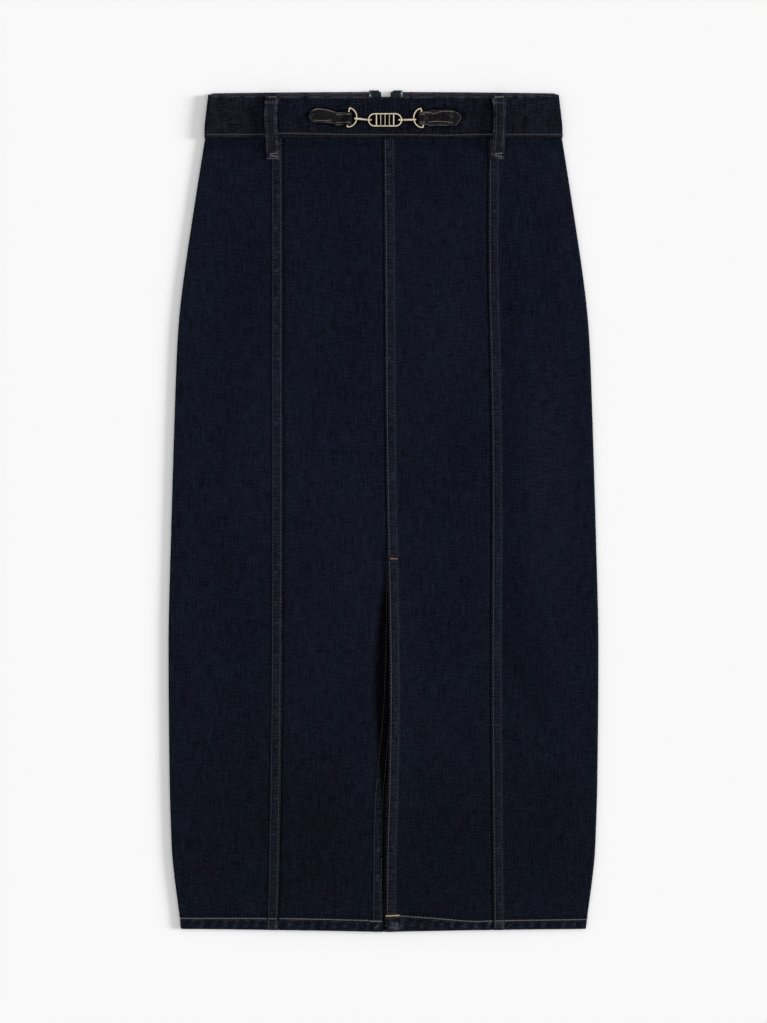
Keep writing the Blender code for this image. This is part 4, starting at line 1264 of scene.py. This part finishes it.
def tab_surface(table, points, toward, seed):
    lengths = [0.0]
    for a, b in zip(points, points[1:]):
        lengths.append(lengths[-1] + math.dist(a, b))

    def surface(i, share, depth):
        a, b = points[max(i - 1, 0)], points[min(i + 1, len(points) - 1)]
        slope = Vector((b[0] - a[0], b[1] - a[1])).normalized() * toward
        normal = Vector((-slope.y, slope.x))
        x, z = points[i]
        low, high = both(table, x)
        inset = 0.0004 if i > TAB_STEPS + TAB_TURNS else 0.0
        y = low + inset + share * (high - low - 2 * inset)
        edge = min(share, 1 - share) * (high - low)
        edge = min(edge, abs(x - table[0][0]) + 0.0002)
        lift = -0.00030 * fall(edge, 0.0, 0.0009)
        on_top = 1 - ease(i, TAB_STEPS - 8, TAB_STEPS)
        lift -= 0.00016 * hump(edge - 0.0015, 0.0010) * on_top
        lift += 0.00020 * ripple(x, y, 0.006, seed) * on_top
        rub = 0.75 * fall(edge, 0.0004, 0.0015) * (0.6 + 0.6 * ripple(x, y, 0.009, seed))
        rub += 0.20 * on_top * max(0.0, ripple(x, y, 0.0045, seed + 2))
        turn = TAB_LAYER / 2 + lift - depth * (TAB_LAYER + 2 * lift) / TAB_LAYER
        return (x + normal.x * turn, y, z + normal.y * turn), max(0.0, rub)

    return surface, lengths[-1]


def make_tabs():
    shares = [0.0, 0.03, 0.07, 0.11, 0.16] + [i / 12 for i in range(3, 10)]
    shares += [0.84, 0.89, 0.93, 0.97, 1.0]
    for side, table, ring, past in TABS:
        toward = 1 if side == "left" else -1
        points = tab_path(table, ring, past, toward)
        surface, length = tab_surface(table, points, toward, 71.0 + toward)
        bm = cloth_panel(
            [(0.0, i) for i in range(len(points))],
            shares,
            whole_width,
            lambda across, row, depth: surface(round(across), row, depth),
            lambda across, row: TAB_LAYER,
        )
        map_by_place(bm, lambda co: (co.x + co.z, co.y))
        name = f"tab_{side}"
        piece = finish_piece(name + "_cloth", bm, (DENIM_TAB,), (name,))
        spans = [high - low for low, high in (both(table, x) for x, _ in points)]


# ---- Stitching.
STITCH = (0.0036, 0.00110, 0.00055)  # length, width and height of one stitch
HEM_STITCH = (0.0043, 0.00135, 0.00065)
BAND_THREAD = (0.0040, 0.00190, 0.00060)
LOOP_STITCH = (0.0036, 0.00080, 0.00040)
TAB_STITCH = (0.0034, 0.00100, 0.00050)
PITCH = 0.0034
WRAP_LEAN = 0.35  # how far a bar tack's wraps lean to and fro


def frame_at(face, x, y, along):
    """A spot on a face: its place, the way along and the way out."""
    step = 0.0004
    middle = Vector(face(x, y))
    east = Vector(face(x + step, y)) - Vector(face(x - step, y))
    north = Vector(face(x, y + step)) - Vector(face(x, y - step))
    out = east.cross(north).normalized()
    way = (along - out * along.dot(out)).normalized()
    return middle, way, out


def add_bead(bm, middle, way, out, size):
    """One stitch: a bead with its length along way."""
    turn = Matrix((way, out.cross(way), out)).transposed().to_4x4()
    shape = Matrix.Translation(middle) @ turn @ Matrix.Diagonal((*size, 1.0))
    bmesh.ops.create_uvsphere(bm, u_segments=6, v_segments=5, radius=0.5, matrix=shape)


def stitch_row(bm, line, face, size=STITCH, pitch=PITCH, sink=0.0):
    """Stitches end to end along a line of (x, y) on a face."""
    places = [Vector(face(x, y)) for x, y in line]
    carried, travelled = pitch * 0.5, 0.0
    for i in range(len(line) - 1):
        step = (places[i + 1] - places[i]).length
        while carried <= travelled + step:
            t = (carried - travelled) / step
            x = line[i][0] + t * (line[i + 1][0] - line[i][0])
            y = line[i][1] + t * (line[i + 1][1] - line[i][1])
            along = (places[i + 1] - places[i]).normalized()
            middle, way, out = frame_at(face, x, y, along)
            sway = dice.uniform(-0.05, 0.05)
            way = (way + out.cross(way) * sway).normalized()
            long = size[0] * dice.uniform(0.90, 1.06)
            add_bead(bm, middle - out * sink, way, out, (long, size[1], size[2]))
            carried += pitch * dice.uniform(0.97, 1.03)
        travelled += step


def bar_tack(bm, middle, face, length, height, turn=0.0, pitch=0.00048):
    """A bar of close thread wraps; turn swings it round from lying along x."""
    count = max(3, round(length / pitch))
    for i in range(count):
        off = (i + 0.5) / count * length - length / 2
        x = middle[0] + off * math.cos(turn)
        y = middle[1] + off * math.sin(turn)
        lean = WRAP_LEAN if i % 2 else -WRAP_LEAN
        along = Vector((-math.sin(turn + lean), math.cos(turn + lean), 0.0))
        place, way, out = frame_at(face, x, y, along)
        tall = height * dice.uniform(0.88, 1.08)
        add_bead(bm, place + out * 0.00005, way, out, (tall, pitch * 1.35, 0.00065))


@contextmanager
def stitching(name, thread):
    """One piece of stitching: what is sewn inside it goes into its mesh."""
    bm = bmesh.new()
    yield bm
    finish_piece(name, bm, (thread,))


def seam_line(place, offset, low, high, count=200):
    """Points along a seam or an edge, whose x at a height is place(height)."""
    return [(place(y) + offset, y) for y in spread(low, high, count)]


def face_of(surface):
    return lambda x, y: surface(x, y, 0.0)[0]


SEAM_ROWS_TOP = WAIST_SEAM - 0.0012
LIT_BELOW = -0.3500  # height under which the slit's left border is out of its shade


def sew_side_seams():
    for side, toward in SIDES:
        face = face_of(side_surface(toward))
        near = LEFT_SLATE if toward < 0 else RIGHT_SLATE
        for row, offset, thread in (("near", NEAR_ROW, near), ("far", FAR_ROW, DIM_SLATE)):
            line = seam_line(
                lambda y: read(SEAMS[toward], y), toward * offset, HEM_SIDE + 0.003, SEAM_ROWS_TOP
            )
            with stitching(f"stitches_{side}_seam_{row}", thread) as bm:
                stitch_row(bm, line, face)


def sew_centre():
    low = HEM_SIDE + 0.0145
    right, left = face_of(centre_right_surface), face_of(centre_left_surface)
    rows = (
        ("stitches_centre_near", SLATE, NEAR_ROW, SLIT_TOP, SEAM_ROWS_TOP),
        ("stitches_slit_near", WARM, NEAR_ROW, low, SLIT_TOP - 0.001),
        ("stitches_centre_far", DIM_SLATE, FAR_ROW, low, SEAM_ROWS_TOP),
    )
    for name, thread, offset, start, end in rows:
        with stitching(name, thread) as bm:
            stitch_row(bm, seam_line(slit_right_edge, offset, start, end, 220), right)
    shaded = (
        (BORDER_NEAR, -0.2700, SLIT_TOP - 0.004, 110),
        (BORDER_FAR, -0.2700, SLIT_TOP - 0.004, 110),
        (BORDER_NEAR, LIT_BELOW, -0.2710, 60),
    )
    lit = (
        (BORDER_FAR, HEM_SIDE + HEM_DEPTH, -0.2710, 90),
        (BORDER_NEAR, HEM_SIDE + HEM_DEPTH, LIT_BELOW - 0.001, 50),
    )
    borders = (("border", SHADED, shaded), ("border_low", DIM_SLATE, lit))
    for part, thread, lines in borders:
        with stitching(f"stitches_slit_{part}", thread) as bm:
            for offset, start, end, count in lines:
                stitch_row(bm, seam_line(slit_left_edge, -offset, start, end, count), left)


def unbowed(x, y):
    """The row of a panel whose bowed height is y."""
    row = y
    for _ in range(6):
        row -= with_hem(x, row) - y
    return row


def hem_line_rows(table, low, high):
    count = max(2, round((high - low) / 0.004))
    return [(x, unbowed(x, read(table, x))) for x in spread(low, high, count)]


def sew_hem():
    end = side_end(HEM_SIDE) - 0.0006
    left, right = read(LEFT_SEAM, HEM_SIDE), read(RIGHT_SEAM, HEM_SIDE)
    jobs = (
        (HEM_ROW_LEFT, -end, left - 0.0008, side_surface(-1)),
        (HEM_ROW_LEFT, left + 0.0008, -0.0140, centre_left_surface),
        (HEM_ROW_RIGHT, 0.0165, right - 0.0008, centre_right_surface),
        (HEM_ROW_RIGHT, right + 0.0008, end, side_surface(1)),
    )
    with stitching("stitches_hem_front", TAN) as bm:
        for table, low, high, surface in jobs:
            stitch_row(bm, hem_line_rows(table, low, high), face_of(surface), HEM_STITCH)
    with stitching("stitches_hem_back", TAN) as bm:
        for low, high in ((-end, ZIP_MIDDLE - 0.0010), (ZIP_MIDDLE + 0.0010, end)):
            line = [(x, HEM_SIDE + HEM_ROW_BACK) for x in spread(low, high, 50)]
            stitch_row(bm, line, face_of(back_surface), HEM_STITCH)


# x on the front of the waistband, and how far its stitch row strays up there.
BAND_ROW = (
    (-0.1900, 0.0001), (-0.1200, 0.0003), (-0.1050, 0.0012), (-0.0850, 0.0011), (-0.0650, 0.0007),
    (-0.0350, 0.0001), (0.0400, -0.0001), (0.0640, -0.0006), (0.0850, 0.0000), (0.1900, 0.0002),
)


def sew_band():
    y = BAND_LOW + BAND_STITCH
    end = band_side(y) - 0.0006
    with stitching("stitches_waistband", ROSE) as bm:
        line = [(x, y + read(BAND_ROW, x)) for x in spread(-end, end, 120)]
        stitch_row(bm, line, face_of(front_band_surface), BAND_THREAD)
        for low, high in ((-end, ZIP_MIDDLE - 0.0065), (ZIP_MIDDLE + 0.0065, end)):
            line = [(x, y) for x in spread(low, high, 60)]
            stitch_row(bm, line, face_of(back_band_surface), BAND_THREAD)


def sew_zip_rows():
    """The rows that hold the zip, down each side and across its foot."""
    with stitching("stitches_zip", SLATE) as bm:
        for toward in (-1, 1):
            line = [
                (ZIP_MIDDLE + toward * (zip_edge(y) + ZIP_ROW), y)
                for y in spread(ZIP_END + 0.002, WAIST_SEAM - 0.001, 60)
            ]
            stitch_row(bm, line, face_of(back_surface))
            x = ZIP_MIDDLE + toward * (ZIP_HALF_OPENING + 0.0050)
            line = [(x, y) for y in spread(BAND_LOW + 0.001, 0.4240, 12)]
            stitch_row(bm, line, face_of(back_band_surface))
        bar_tack(bm, (ZIP_MIDDLE, ZIP_END - 0.0020), face_of(back_surface), 0.0110, 0.0024)


def sew_loops():
    threads = {"left": (DIM_SLATE, DULL_ROSE), "right": (ROSE, DULL_GOLD)}
    for side, table in LOOPS:
        surface = loop_surface(side, table)

        def across(share, y):
            left, right = both(table, y)
            return left + share * (right - left)

        def face(x, y):
            left, right = both(table, y)
            return surface((x - left) / (right - left), y, 0.0)[0]

        with stitching(f"stitches_loop_{side}", threads[side][0]) as bm:
            for share in LOOP_ROWS[side]:
                heights = spread(LOOP_BOTTOM_TACK + 0.004, LOOP_TOP_TACK - 0.003, 24)
                line = [(across(share, y), y) for y in heights]
                stitch_row(bm, line, face, LOOP_STITCH, 0.0032)
        with stitching(f"tack_loop_top_{side}", threads[side][1]) as bm:
            middle = sum(both(table, LOOP_TOP_TACK)) / 2
            bar_tack(bm, (middle, LOOP_TOP_TACK + 0.0004), face, 0.0092, 0.0024)
        with stitching(f"tack_loop_bottom_{side}", PALE_STRAW) as bm:
            middle = sum(both(table, LOOP_BOTTOM_TACK)) / 2 + 0.0006
            for rise, swing in ((0.0004, 0.10), (-0.0022, -0.14)):
                spot = (middle, LOOP_BOTTOM_TACK + rise)
                bar_tack(bm, spot, face, 0.0082, 0.0017, swing, 0.00115)


# Lines of stitches on the tabs: x and height.
TAB_SEWING = {
    "left": (
        ((-0.0717, 0.4082), (-0.0661, 0.4096), (-0.0595, 0.4088), (-0.0534, 0.4074),
         (-0.0492, 0.4060)),
        ((-0.0707, 0.3982), (-0.0646, 0.3978), (-0.0585, 0.3977), (-0.0534, 0.3984)),
        ((-0.0486, 0.4040), (-0.0328, 0.4040)),
        ((-0.0484, 0.3957), (-0.0328, 0.3957)),
    ),
    "right": (
        ((0.0715, 0.4066), (0.0697, 0.4068), (0.0656, 0.4072), (0.0570, 0.4069),
         (0.0555, 0.4058)),
        ((0.0545, 0.4055), (0.0504, 0.4050), (0.0483, 0.4059), (0.0438, 0.4056)),
        ((0.0707, 0.3957), (0.0666, 0.3959), (0.0651, 0.3966), (0.0509, 0.3969),
         (0.0443, 0.3959)),
        ((0.0422, 0.4039), (0.0354, 0.4039)),
        ((0.0422, 0.3958), (0.0354, 0.3958)),
    ),
}

# Dark wraps on the tabs: middle, length, height and turn.
TAB_TACKS = {
    "left": (((-0.0497, 0.4003), 0.0088, 0.0036, math.pi / 2),),
    "right": (((0.0530, 0.4040), 0.0060, 0.0014, 0.2), ((0.0640, 0.3950), 0.0110, 0.0012, 0.0)),
}


def sew_tabs():
    for side, table, ring, past in TABS:
        toward = 1 if side == "left" else -1
        row = tab_path(table, ring, past, toward)[: TAB_STEPS + 7]

        def face(x, y):
            i = 0
            while i < len(row) - 2 and toward * (x - row[i + 1][0]) > 0:
                i += 1
            share = (x - row[i][0]) / (row[i + 1][0] - row[i][0])
            z = row[i][1] + (row[i + 1][1] - row[i][1]) * share
            return (x, y, z + TAB_LAYER / 2 - 0.00006)

        with stitching(f"stitches_tab_{side}", CREAM) as bm:
            for line in TAB_SEWING[side]:
                stitch_row(bm, line, face, TAB_STITCH, 0.0029)
        # The left tab's near-black wraps are rust stitching with painted shade at the tab's neck.
        with stitching(f"tack_tab_{side}", RUST_IN_SHADE if side == "left" else DARK_RUST) as bm:
            for middle, length, height, turn in TAB_TACKS[side]:
                bar_tack(bm, middle, face, length, height, turn)


def sew_tacks():
    """Bar tacks at the slit's top and at its two hem corners."""
    left, right = face_of(centre_left_surface), face_of(centre_right_surface)
    with stitching("tack_slit_top", RUST) as bm:
        bar_tack(bm, (0.0106, SLIT_TOP + 0.0004), right, 0.0076, 0.0017)
    with stitching("tack_slit_shade", DARK_RUST) as bm:
        bar_tack(bm, (0.0110, SLIT_TOP + 0.0034), right, 0.0090, 0.0032)
        bar_tack(bm, (0.0107, SLIT_TOP - 0.0020), right, 0.0060, 0.0018, pitch=0.0008)
    with stitching("tack_hem_right", PALE_RUST) as bm:
        bar_tack(bm, (0.0093, unbowed(0.0093, -0.4120)), right, 0.0142, 0.0022)
    with stitching("tack_hem_shade", DARK_RUST) as bm:
        for x, y, length in ((0.0085, -0.4094, 0.0110), (0.0075, -0.4144, 0.0120)):
            bar_tack(bm, (x, unbowed(x, y)), right, length, 0.0022, 0.0, 0.0007)
    with stitching("tack_hem_left", STRAW) as bm:
        bar_tack(bm, (-0.0080, unbowed(-0.0080, -0.4177)), left, 0.0120, 0.0015, 0.0, 0.0010)


# ---- Rings, stems and link.
def smooth_path(points, steps):
    """A closed run of points on a smooth curve through the given ones."""
    made = []
    for i in range(len(points)):
        a, b, c, d = (Vector(points[(i + k) % len(points)]) for k in (-1, 0, 1, 2))
        for t in (step / steps for step in range(steps)):
            bend = (2 * a - 5 * b + 4 * c - d) * t * t + (3 * b - a - 3 * c + d) * t**3
            made.append(0.5 * (2 * b + (c - a) * t + bend))
    return made


def add_tube(bm, path, radii, sides=16, closed=False, flat=1.0):
    """Round wire along a path; radii is one radius, or one for each point."""
    count = len(path)
    spans = count if closed else count - 1
    if not isinstance(radii, list):
        radii = [radii] * count
    before = set(bm.verts)
    bmesh.ops.create_grid(bm, x_segments=spans, y_segments=sides, size=0.5)
    new = [v for v in bm.verts if v not in before]
    for vertex in new:
        i = round((vertex.co.x + 0.5) * spans)
        turn = 2 * math.pi * round((vertex.co.y + 0.5) * sides) / sides
        ahead = path[(i + 1) % count] if closed else path[min(i + 1, count - 1)]
        behind = path[(i - 1) % count] if closed else path[max(i - 1, 0)]
        way = (ahead - behind).normalized()
        side = way.cross(Vector((0.0, 0.0, 1.0))).normalized()
        up = side.cross(way)
        out = side * math.cos(turn) + up * flat * math.sin(turn)
        vertex.co = path[i % count] + radii[i % count] * out
    bmesh.ops.remove_doubles(bm, verts=new, dist=1e-7)
    new = {v for v in new if v.is_valid}
    if not closed:
        rims = [e for e in bm.edges if e.is_boundary and e.verts[0] in new]
        bmesh.ops.holes_fill(bm, edges=rims, sides=sides)
    faces = {face for vertex in new for face in vertex.link_faces}
    bmesh.ops.recalc_face_normals(bm, faces=list(faces))


def ring_outline(ring, toward):
    """A D: a straight bar and half an ellipse that bows towards the link."""
    corner = RING_HALF_HEIGHT * RING_CORNER
    points = [(0.0, corner), (0.0, 0.0), (0.0, -corner)]
    for angle in spread(RING_START - math.pi / 2, math.pi / 2 - RING_START, 15):
        points.append((RING_RADIUS * math.cos(angle), RING_HALF_HEIGHT * math.sin(angle)))
    made = []
    for x, y in points:
        tilted = Matrix.Rotation(-RING_TILT, 2) @ Vector((x, y))
        height = BAR_HEIGHT + (STEM_HEIGHT - BAR_HEIGHT) * x / RING_RADIUS
        made.append((ring[0] + toward * tilted.x, ring[1] + tilted.y, height))
    return smooth_path(made, 7)


# A stem from its ring to the link: which of three places along it, how far
# past that place, and its radius there.
AT_RING, AT_SHOULDER, AT_LINK = 0, 1, 2
STEM_PROFILE = (
    (AT_RING, -0.0030, 0.00020), (AT_RING, -0.0028, 0.00090), (AT_RING, -0.0020, 0.00142),
    (AT_RING, -0.0008, 0.00142), (AT_RING, 0.0004, 0.00130), (AT_RING, 0.0014, 0.00126),
    (AT_SHOULDER, -0.0018, 0.00126), (AT_SHOULDER, -0.0012, 0.00140),
    (AT_SHOULDER, -0.0004, 0.00140), (AT_SHOULDER, 0.0, 0.00115), (AT_SHOULDER, 0.0001, NECK),
    (AT_LINK, -0.0012, NECK), (AT_LINK, -0.0010, 0.00090), (AT_LINK, -0.0002, 0.00130),
    (AT_LINK, 0.0006, 0.00115), (AT_LINK, 0.0010, 0.00060), (AT_LINK, 0.0012, 0.00010),
)
INTO_LINK = 0.0024  # how far a stem reaches into the link


def make_ring(side, ring, toward, rise):
    """A ring and its stem, which leaves the ring this much above the link's middle."""
    bm = bmesh.new()
    add_tube(bm, ring_outline(ring, toward), WIRE, closed=True)
    apex = ring[0] + toward * RING_RADIUS
    end = LINK_MIDDLE[0] - toward * LINK_HALF_LENGTH
    places = (apex, end - toward * (BOSS + SEAM_GAP), end + toward * INTO_LINK)
    path = []
    for place, past, _ in STEM_PROFILE:
        x = places[place] + toward * past
        share = min(max((end - x) / (end - apex), 0.0), 1.2)
        path.append(Vector((x, LINK_MIDDLE[1] + rise * share, STEM_HEIGHT)))
    add_tube(bm, path, [radius for _, _, radius in STEM_PROFILE], 18)
    name = f"bit_ring_{side}"
    finish_piece(name + "_gold", bm, (GOLD,), (name,))


def link_outline():
    straight = LINK_HALF_LENGTH - LINK_END_RADIUS
    points = []
    for side in (1, -1):
        for angle in spread(-math.pi / 2, math.pi / 2, 13):
            x = side * (straight + LINK_END_RADIUS * math.cos(angle))
            points.append((x, side * LINK_END_RADIUS * math.sin(angle)))
        for share in (0.2, 0.4, 0.6, 0.8):
            points.append((side * straight * (1 - 2 * share), side * LINK_END_RADIUS))
    x, y = LINK_MIDDLE
    return smooth_path([(x + dx, y + dy, STEM_HEIGHT) for dx, dy in points], 4)


def make_link():
    """The middle link: an oval of wire with a plain upright grille in it."""
    bm = bmesh.new()
    add_tube(bm, link_outline(), LINK_WIRE, closed=True)
    x, y = LINK_MIDDLE
    bars = [(-LINK_FRAME, LINK_WIRE * 0.95), (LINK_FRAME, LINK_WIRE * 0.95)]
    bars += [(LINK_FRAME * share, 0.00042) for share in (-0.5, 0.0, 0.5)]
    for offset, radius in bars:
        rise = [LINK_END_RADIUS * s for s in spread(-1.0, 1.0, 15)]
        path = [Vector((x + offset, y + up, STEM_HEIGHT - 0.0002)) for up in rise]
        add_tube(bm, path, radius, 14, flat=0.85)
    for toward in (1, -1):
        shape = Matrix.Translation((x - toward * LINK_HALF_LENGTH, y, STEM_HEIGHT))
        shape = shape @ Matrix.Diagonal((1.0, 1.0, 0.72, 1.0))
        bmesh.ops.create_uvsphere(bm, u_segments=24, v_segments=16, radius=BOSS, matrix=shape)
    finish_piece("bit_link_gold", bm, (GOLD,), ("bit_link",))


# ---- Zip.
TAPE_BOTTOM = 0.1900
TAPE_TOP = 0.4296
TAPE_OUTER = ZIP_HALF_OPENING + 0.0122
SLIDER_LOW = 0.4010
SLIDER_HIGH = 0.4110


def tape_height(y):
    on_panel, on_waist = DENIM + SEAM_GAP, BAND + SEAM_GAP
    return on_panel + (on_waist - on_panel) * ease(y, WAIST_SEAM - 0.008, WAIST_SEAM)


def tape_inner(y):
    parted = HALF_GAP + ZIP_HALF_OPENING * ease(y, SLIDER_LOW + 0.004, SLIDER_HIGH + 0.004)
    return parted + 0.0024 * ease(y, TAPE_TOP - 0.0050, TAPE_TOP) ** 2


def tape_surface(toward):
    def surface(share, y, depth):
        inner = tape_inner(y)
        reach = inner + share * (TAPE_OUTER - inner)
        x = ZIP_MIDDLE + toward * reach
        cord = 0.00018 * hump(reach - inner - 0.0009, 0.0008)
        rub = 0.9 * fall(TAPE_OUTER - reach, 0.0006, 0.0022)
        rub *= 0.8 + 0.4 * ripple(x, y, 0.004, 5.0)
        z = tape_height(y) + TAPE + cord * (1 - depth / TAPE) - depth
        return (x, y, z), max(0.0, rub)

    return surface


def make_tapes():
    shares = (0.0, 0.03, 0.08, 0.16, 0.26, 0.38, 0.52, 0.66, 0.78, 0.87, 0.93, 0.97, 1.0)
    for side, toward in SIDES:
        bm = cloth_panel(
            [(0.0, share) for share in shares],
            sorted(spread(TAPE_BOTTOM, TAPE_TOP, 90) + [TAPE_TOP - 0.0004]),
            whole_width,
            tape_surface(toward),
            lambda across, row: TAPE,
        )
        map_by_place(bm)
        name = f"zip_tape_{side}"
        piece = finish_piece(name + "_cloth", bm, (TAPE_CLOTH,), (name,))


TOOTH_PITCH = 0.0015
TOOTH = (0.0030, 0.00080, 0.00125, 1.0)
TEETH_TOP = 0.4190
STOP = (0.0024, 0.0030, 0.0015, 1.0)
STOP_HEIGHT = 0.4202


def make_teeth():
    """Teeth that mesh up to the slider and part above it, with their stops."""
    bm = bmesh.new()
    for toward in (-1, 1):
        for i in range(int((TEETH_TOP - ZIP_END) / TOOTH_PITCH)):
            y = ZIP_END + 0.001 + TOOTH_PITCH * (i + (0.5 if toward > 0 else 0.0))
            x = ZIP_MIDDLE + toward * (tape_inner(y) - HALF_GAP + 0.0007)
            place = Matrix.Translation((x, y, tape_height(y) + TAPE / 2))
            shape = place @ Matrix.Diagonal(TOOTH)
            bmesh.ops.create_uvsphere(bm, u_segments=8, v_segments=4, radius=0.5, matrix=shape)
        x = ZIP_MIDDLE + toward * (tape_inner(STOP_HEIGHT) + 0.0006)
        place = Matrix.Translation((x, STOP_HEIGHT, tape_height(STOP_HEIGHT) + TAPE / 2))
        bmesh.ops.create_cube(bm, size=1.0, matrix=place @ Matrix.Diagonal(STOP))
    finish_piece("zip_teeth", bm, (NICKEL,))


def dress_frame_nodes():
    for node in ("zip_slider", "zip_pull"):
        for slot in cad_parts[node].material_slots:
            slot.material = NICKEL


# ---- Floor, light and camera.
FLOOR_SIZE = 6.0
FLOOR_DROP = 0.0003


def make_floor():
    """A pale floor that can't be seen from below and lets light through to there."""
    bm = bmesh.new()
    bmesh.ops.create_grid(bm, x_segments=1, y_segments=1, size=FLOOR_SIZE)
    bmesh.ops.translate(bm, verts=bm.verts, vec=(0.0, 0.0, -FLOOR_DROP))
    mesh = bpy.data.meshes.new("floor")
    bm.to_mesh(mesh)
    bm.free()
    floor = bpy.data.objects.new("floor", mesh)
    bpy.context.scene.collection.objects.link(floor)
    made, t, shader = new_material("pale_floor")
    pale = {"Base Color": (0.90, 0.90, 0.90, 1.0), "Roughness": 0.9, "Specular IOR Level": 0.0}
    t.fill(shader, pale)
    clear = t.node("ShaderNodeBsdfTransparent").outputs[0]
    behind = t.node("ShaderNodeNewGeometry").outputs["Backfacing"]
    to_light = t.node("ShaderNodeLightPath").outputs["Is Shadow Ray"]
    open_to = t.math("MAXIMUM", behind, to_light)
    seen = t.node("ShaderNodeMixShader", {0: open_to, 1: shader.outputs[0], 2: clear})
    output = next(n for n in made.node_tree.nodes if n.bl_idname == "ShaderNodeOutputMaterial")
    t.fill(output, {"Surface": seen.outputs[0]})
    mesh.materials.append(made)


KEY_HEIGHT = 18.0  # degrees above the floor
KEY_STRENGTH = 3.75
KEY_SPREAD = 16.0
GLINT_STRENGTH = 0.10
GLINT_SPREAD = 40.0


def add_sun(name, spread_angle, energy):
    lamp = bpy.data.lights.new(name, "SUN")
    lamp.angle = math.radians(spread_angle)
    lamp.energy = energy
    sun = bpy.data.objects.new(name, lamp)
    bpy.context.scene.collection.objects.link(sun)
    return sun


def make_light():
    """A soft room, a low wide key and a faint light for the metal's gloss."""
    world = bpy.data.worlds.new("studio")
    bpy.context.scene.world = world
    world.use_nodes = True
    t = Tree(world.node_tree)
    sky = t.node("ShaderNodeTexCoord").outputs["Generated"]
    up = t.node("ShaderNodeSeparateXYZ", {0: sky}).outputs[2]
    glow = t.plus(t.ramp(up, -0.2, 1.0, 0.155, 0.885), t.ramp(up, -0.6, -1.0, 0.0, 4.5))
    back = world.node_tree.nodes["Background"]
    t.fill(back, {"Color": (1.0, 1.0, 1.0, 1.0), "Strength": glow})
    key = add_sun("key", KEY_SPREAD, KEY_STRENGTH)
    key.visible_glossy = False
    low = math.radians(KEY_HEIGHT)
    aim = Vector((math.cos(low), 0.05, math.sin(low)))
    key.location = aim * 3.0
    key.rotation_euler = aim.to_track_quat("Z", "Y").to_euler()
    add_sun("glint", GLINT_SPREAD, GLINT_STRENGTH).visible_diffuse = False


LENS = 85.0
SENSOR_TALL = 36.0
VIEW_TALL = 1.0425  # metres in view, from top to bottom
VIEW_PLANE = 0.0060  # the height above the floor at which that is so


def make_camera():
    lens = bpy.data.cameras.new("camera")
    lens.lens = LENS
    lens.sensor_fit = "VERTICAL"
    lens.sensor_height = SENSOR_TALL
    lens.clip_start = 0.01
    camera = bpy.data.objects.new("camera", lens)
    bpy.context.scene.collection.objects.link(camera)
    camera.location = (0.0, -0.0001, VIEW_PLANE + VIEW_TALL * LENS / SENSOR_TALL)
    bpy.context.scene.camera = camera
    bpy.context.scene.view_settings.view_transform = "Standard"


make_camera()
make_light()
make_floor()
make_back()
make_front()
make_waistband()
make_belt_loops()
make_tabs()
sew_side_seams()
sew_centre()
sew_hem()
sew_band()
sew_zip_rows()
sew_loops()
sew_tabs()
sew_tacks()
make_ring("left", LEFT_RING, 1, 0.0012)
make_ring("right", RIGHT_RING, -1, 0.0001)
make_link()
make_tapes()
make_teeth()
dress_frame_nodes()
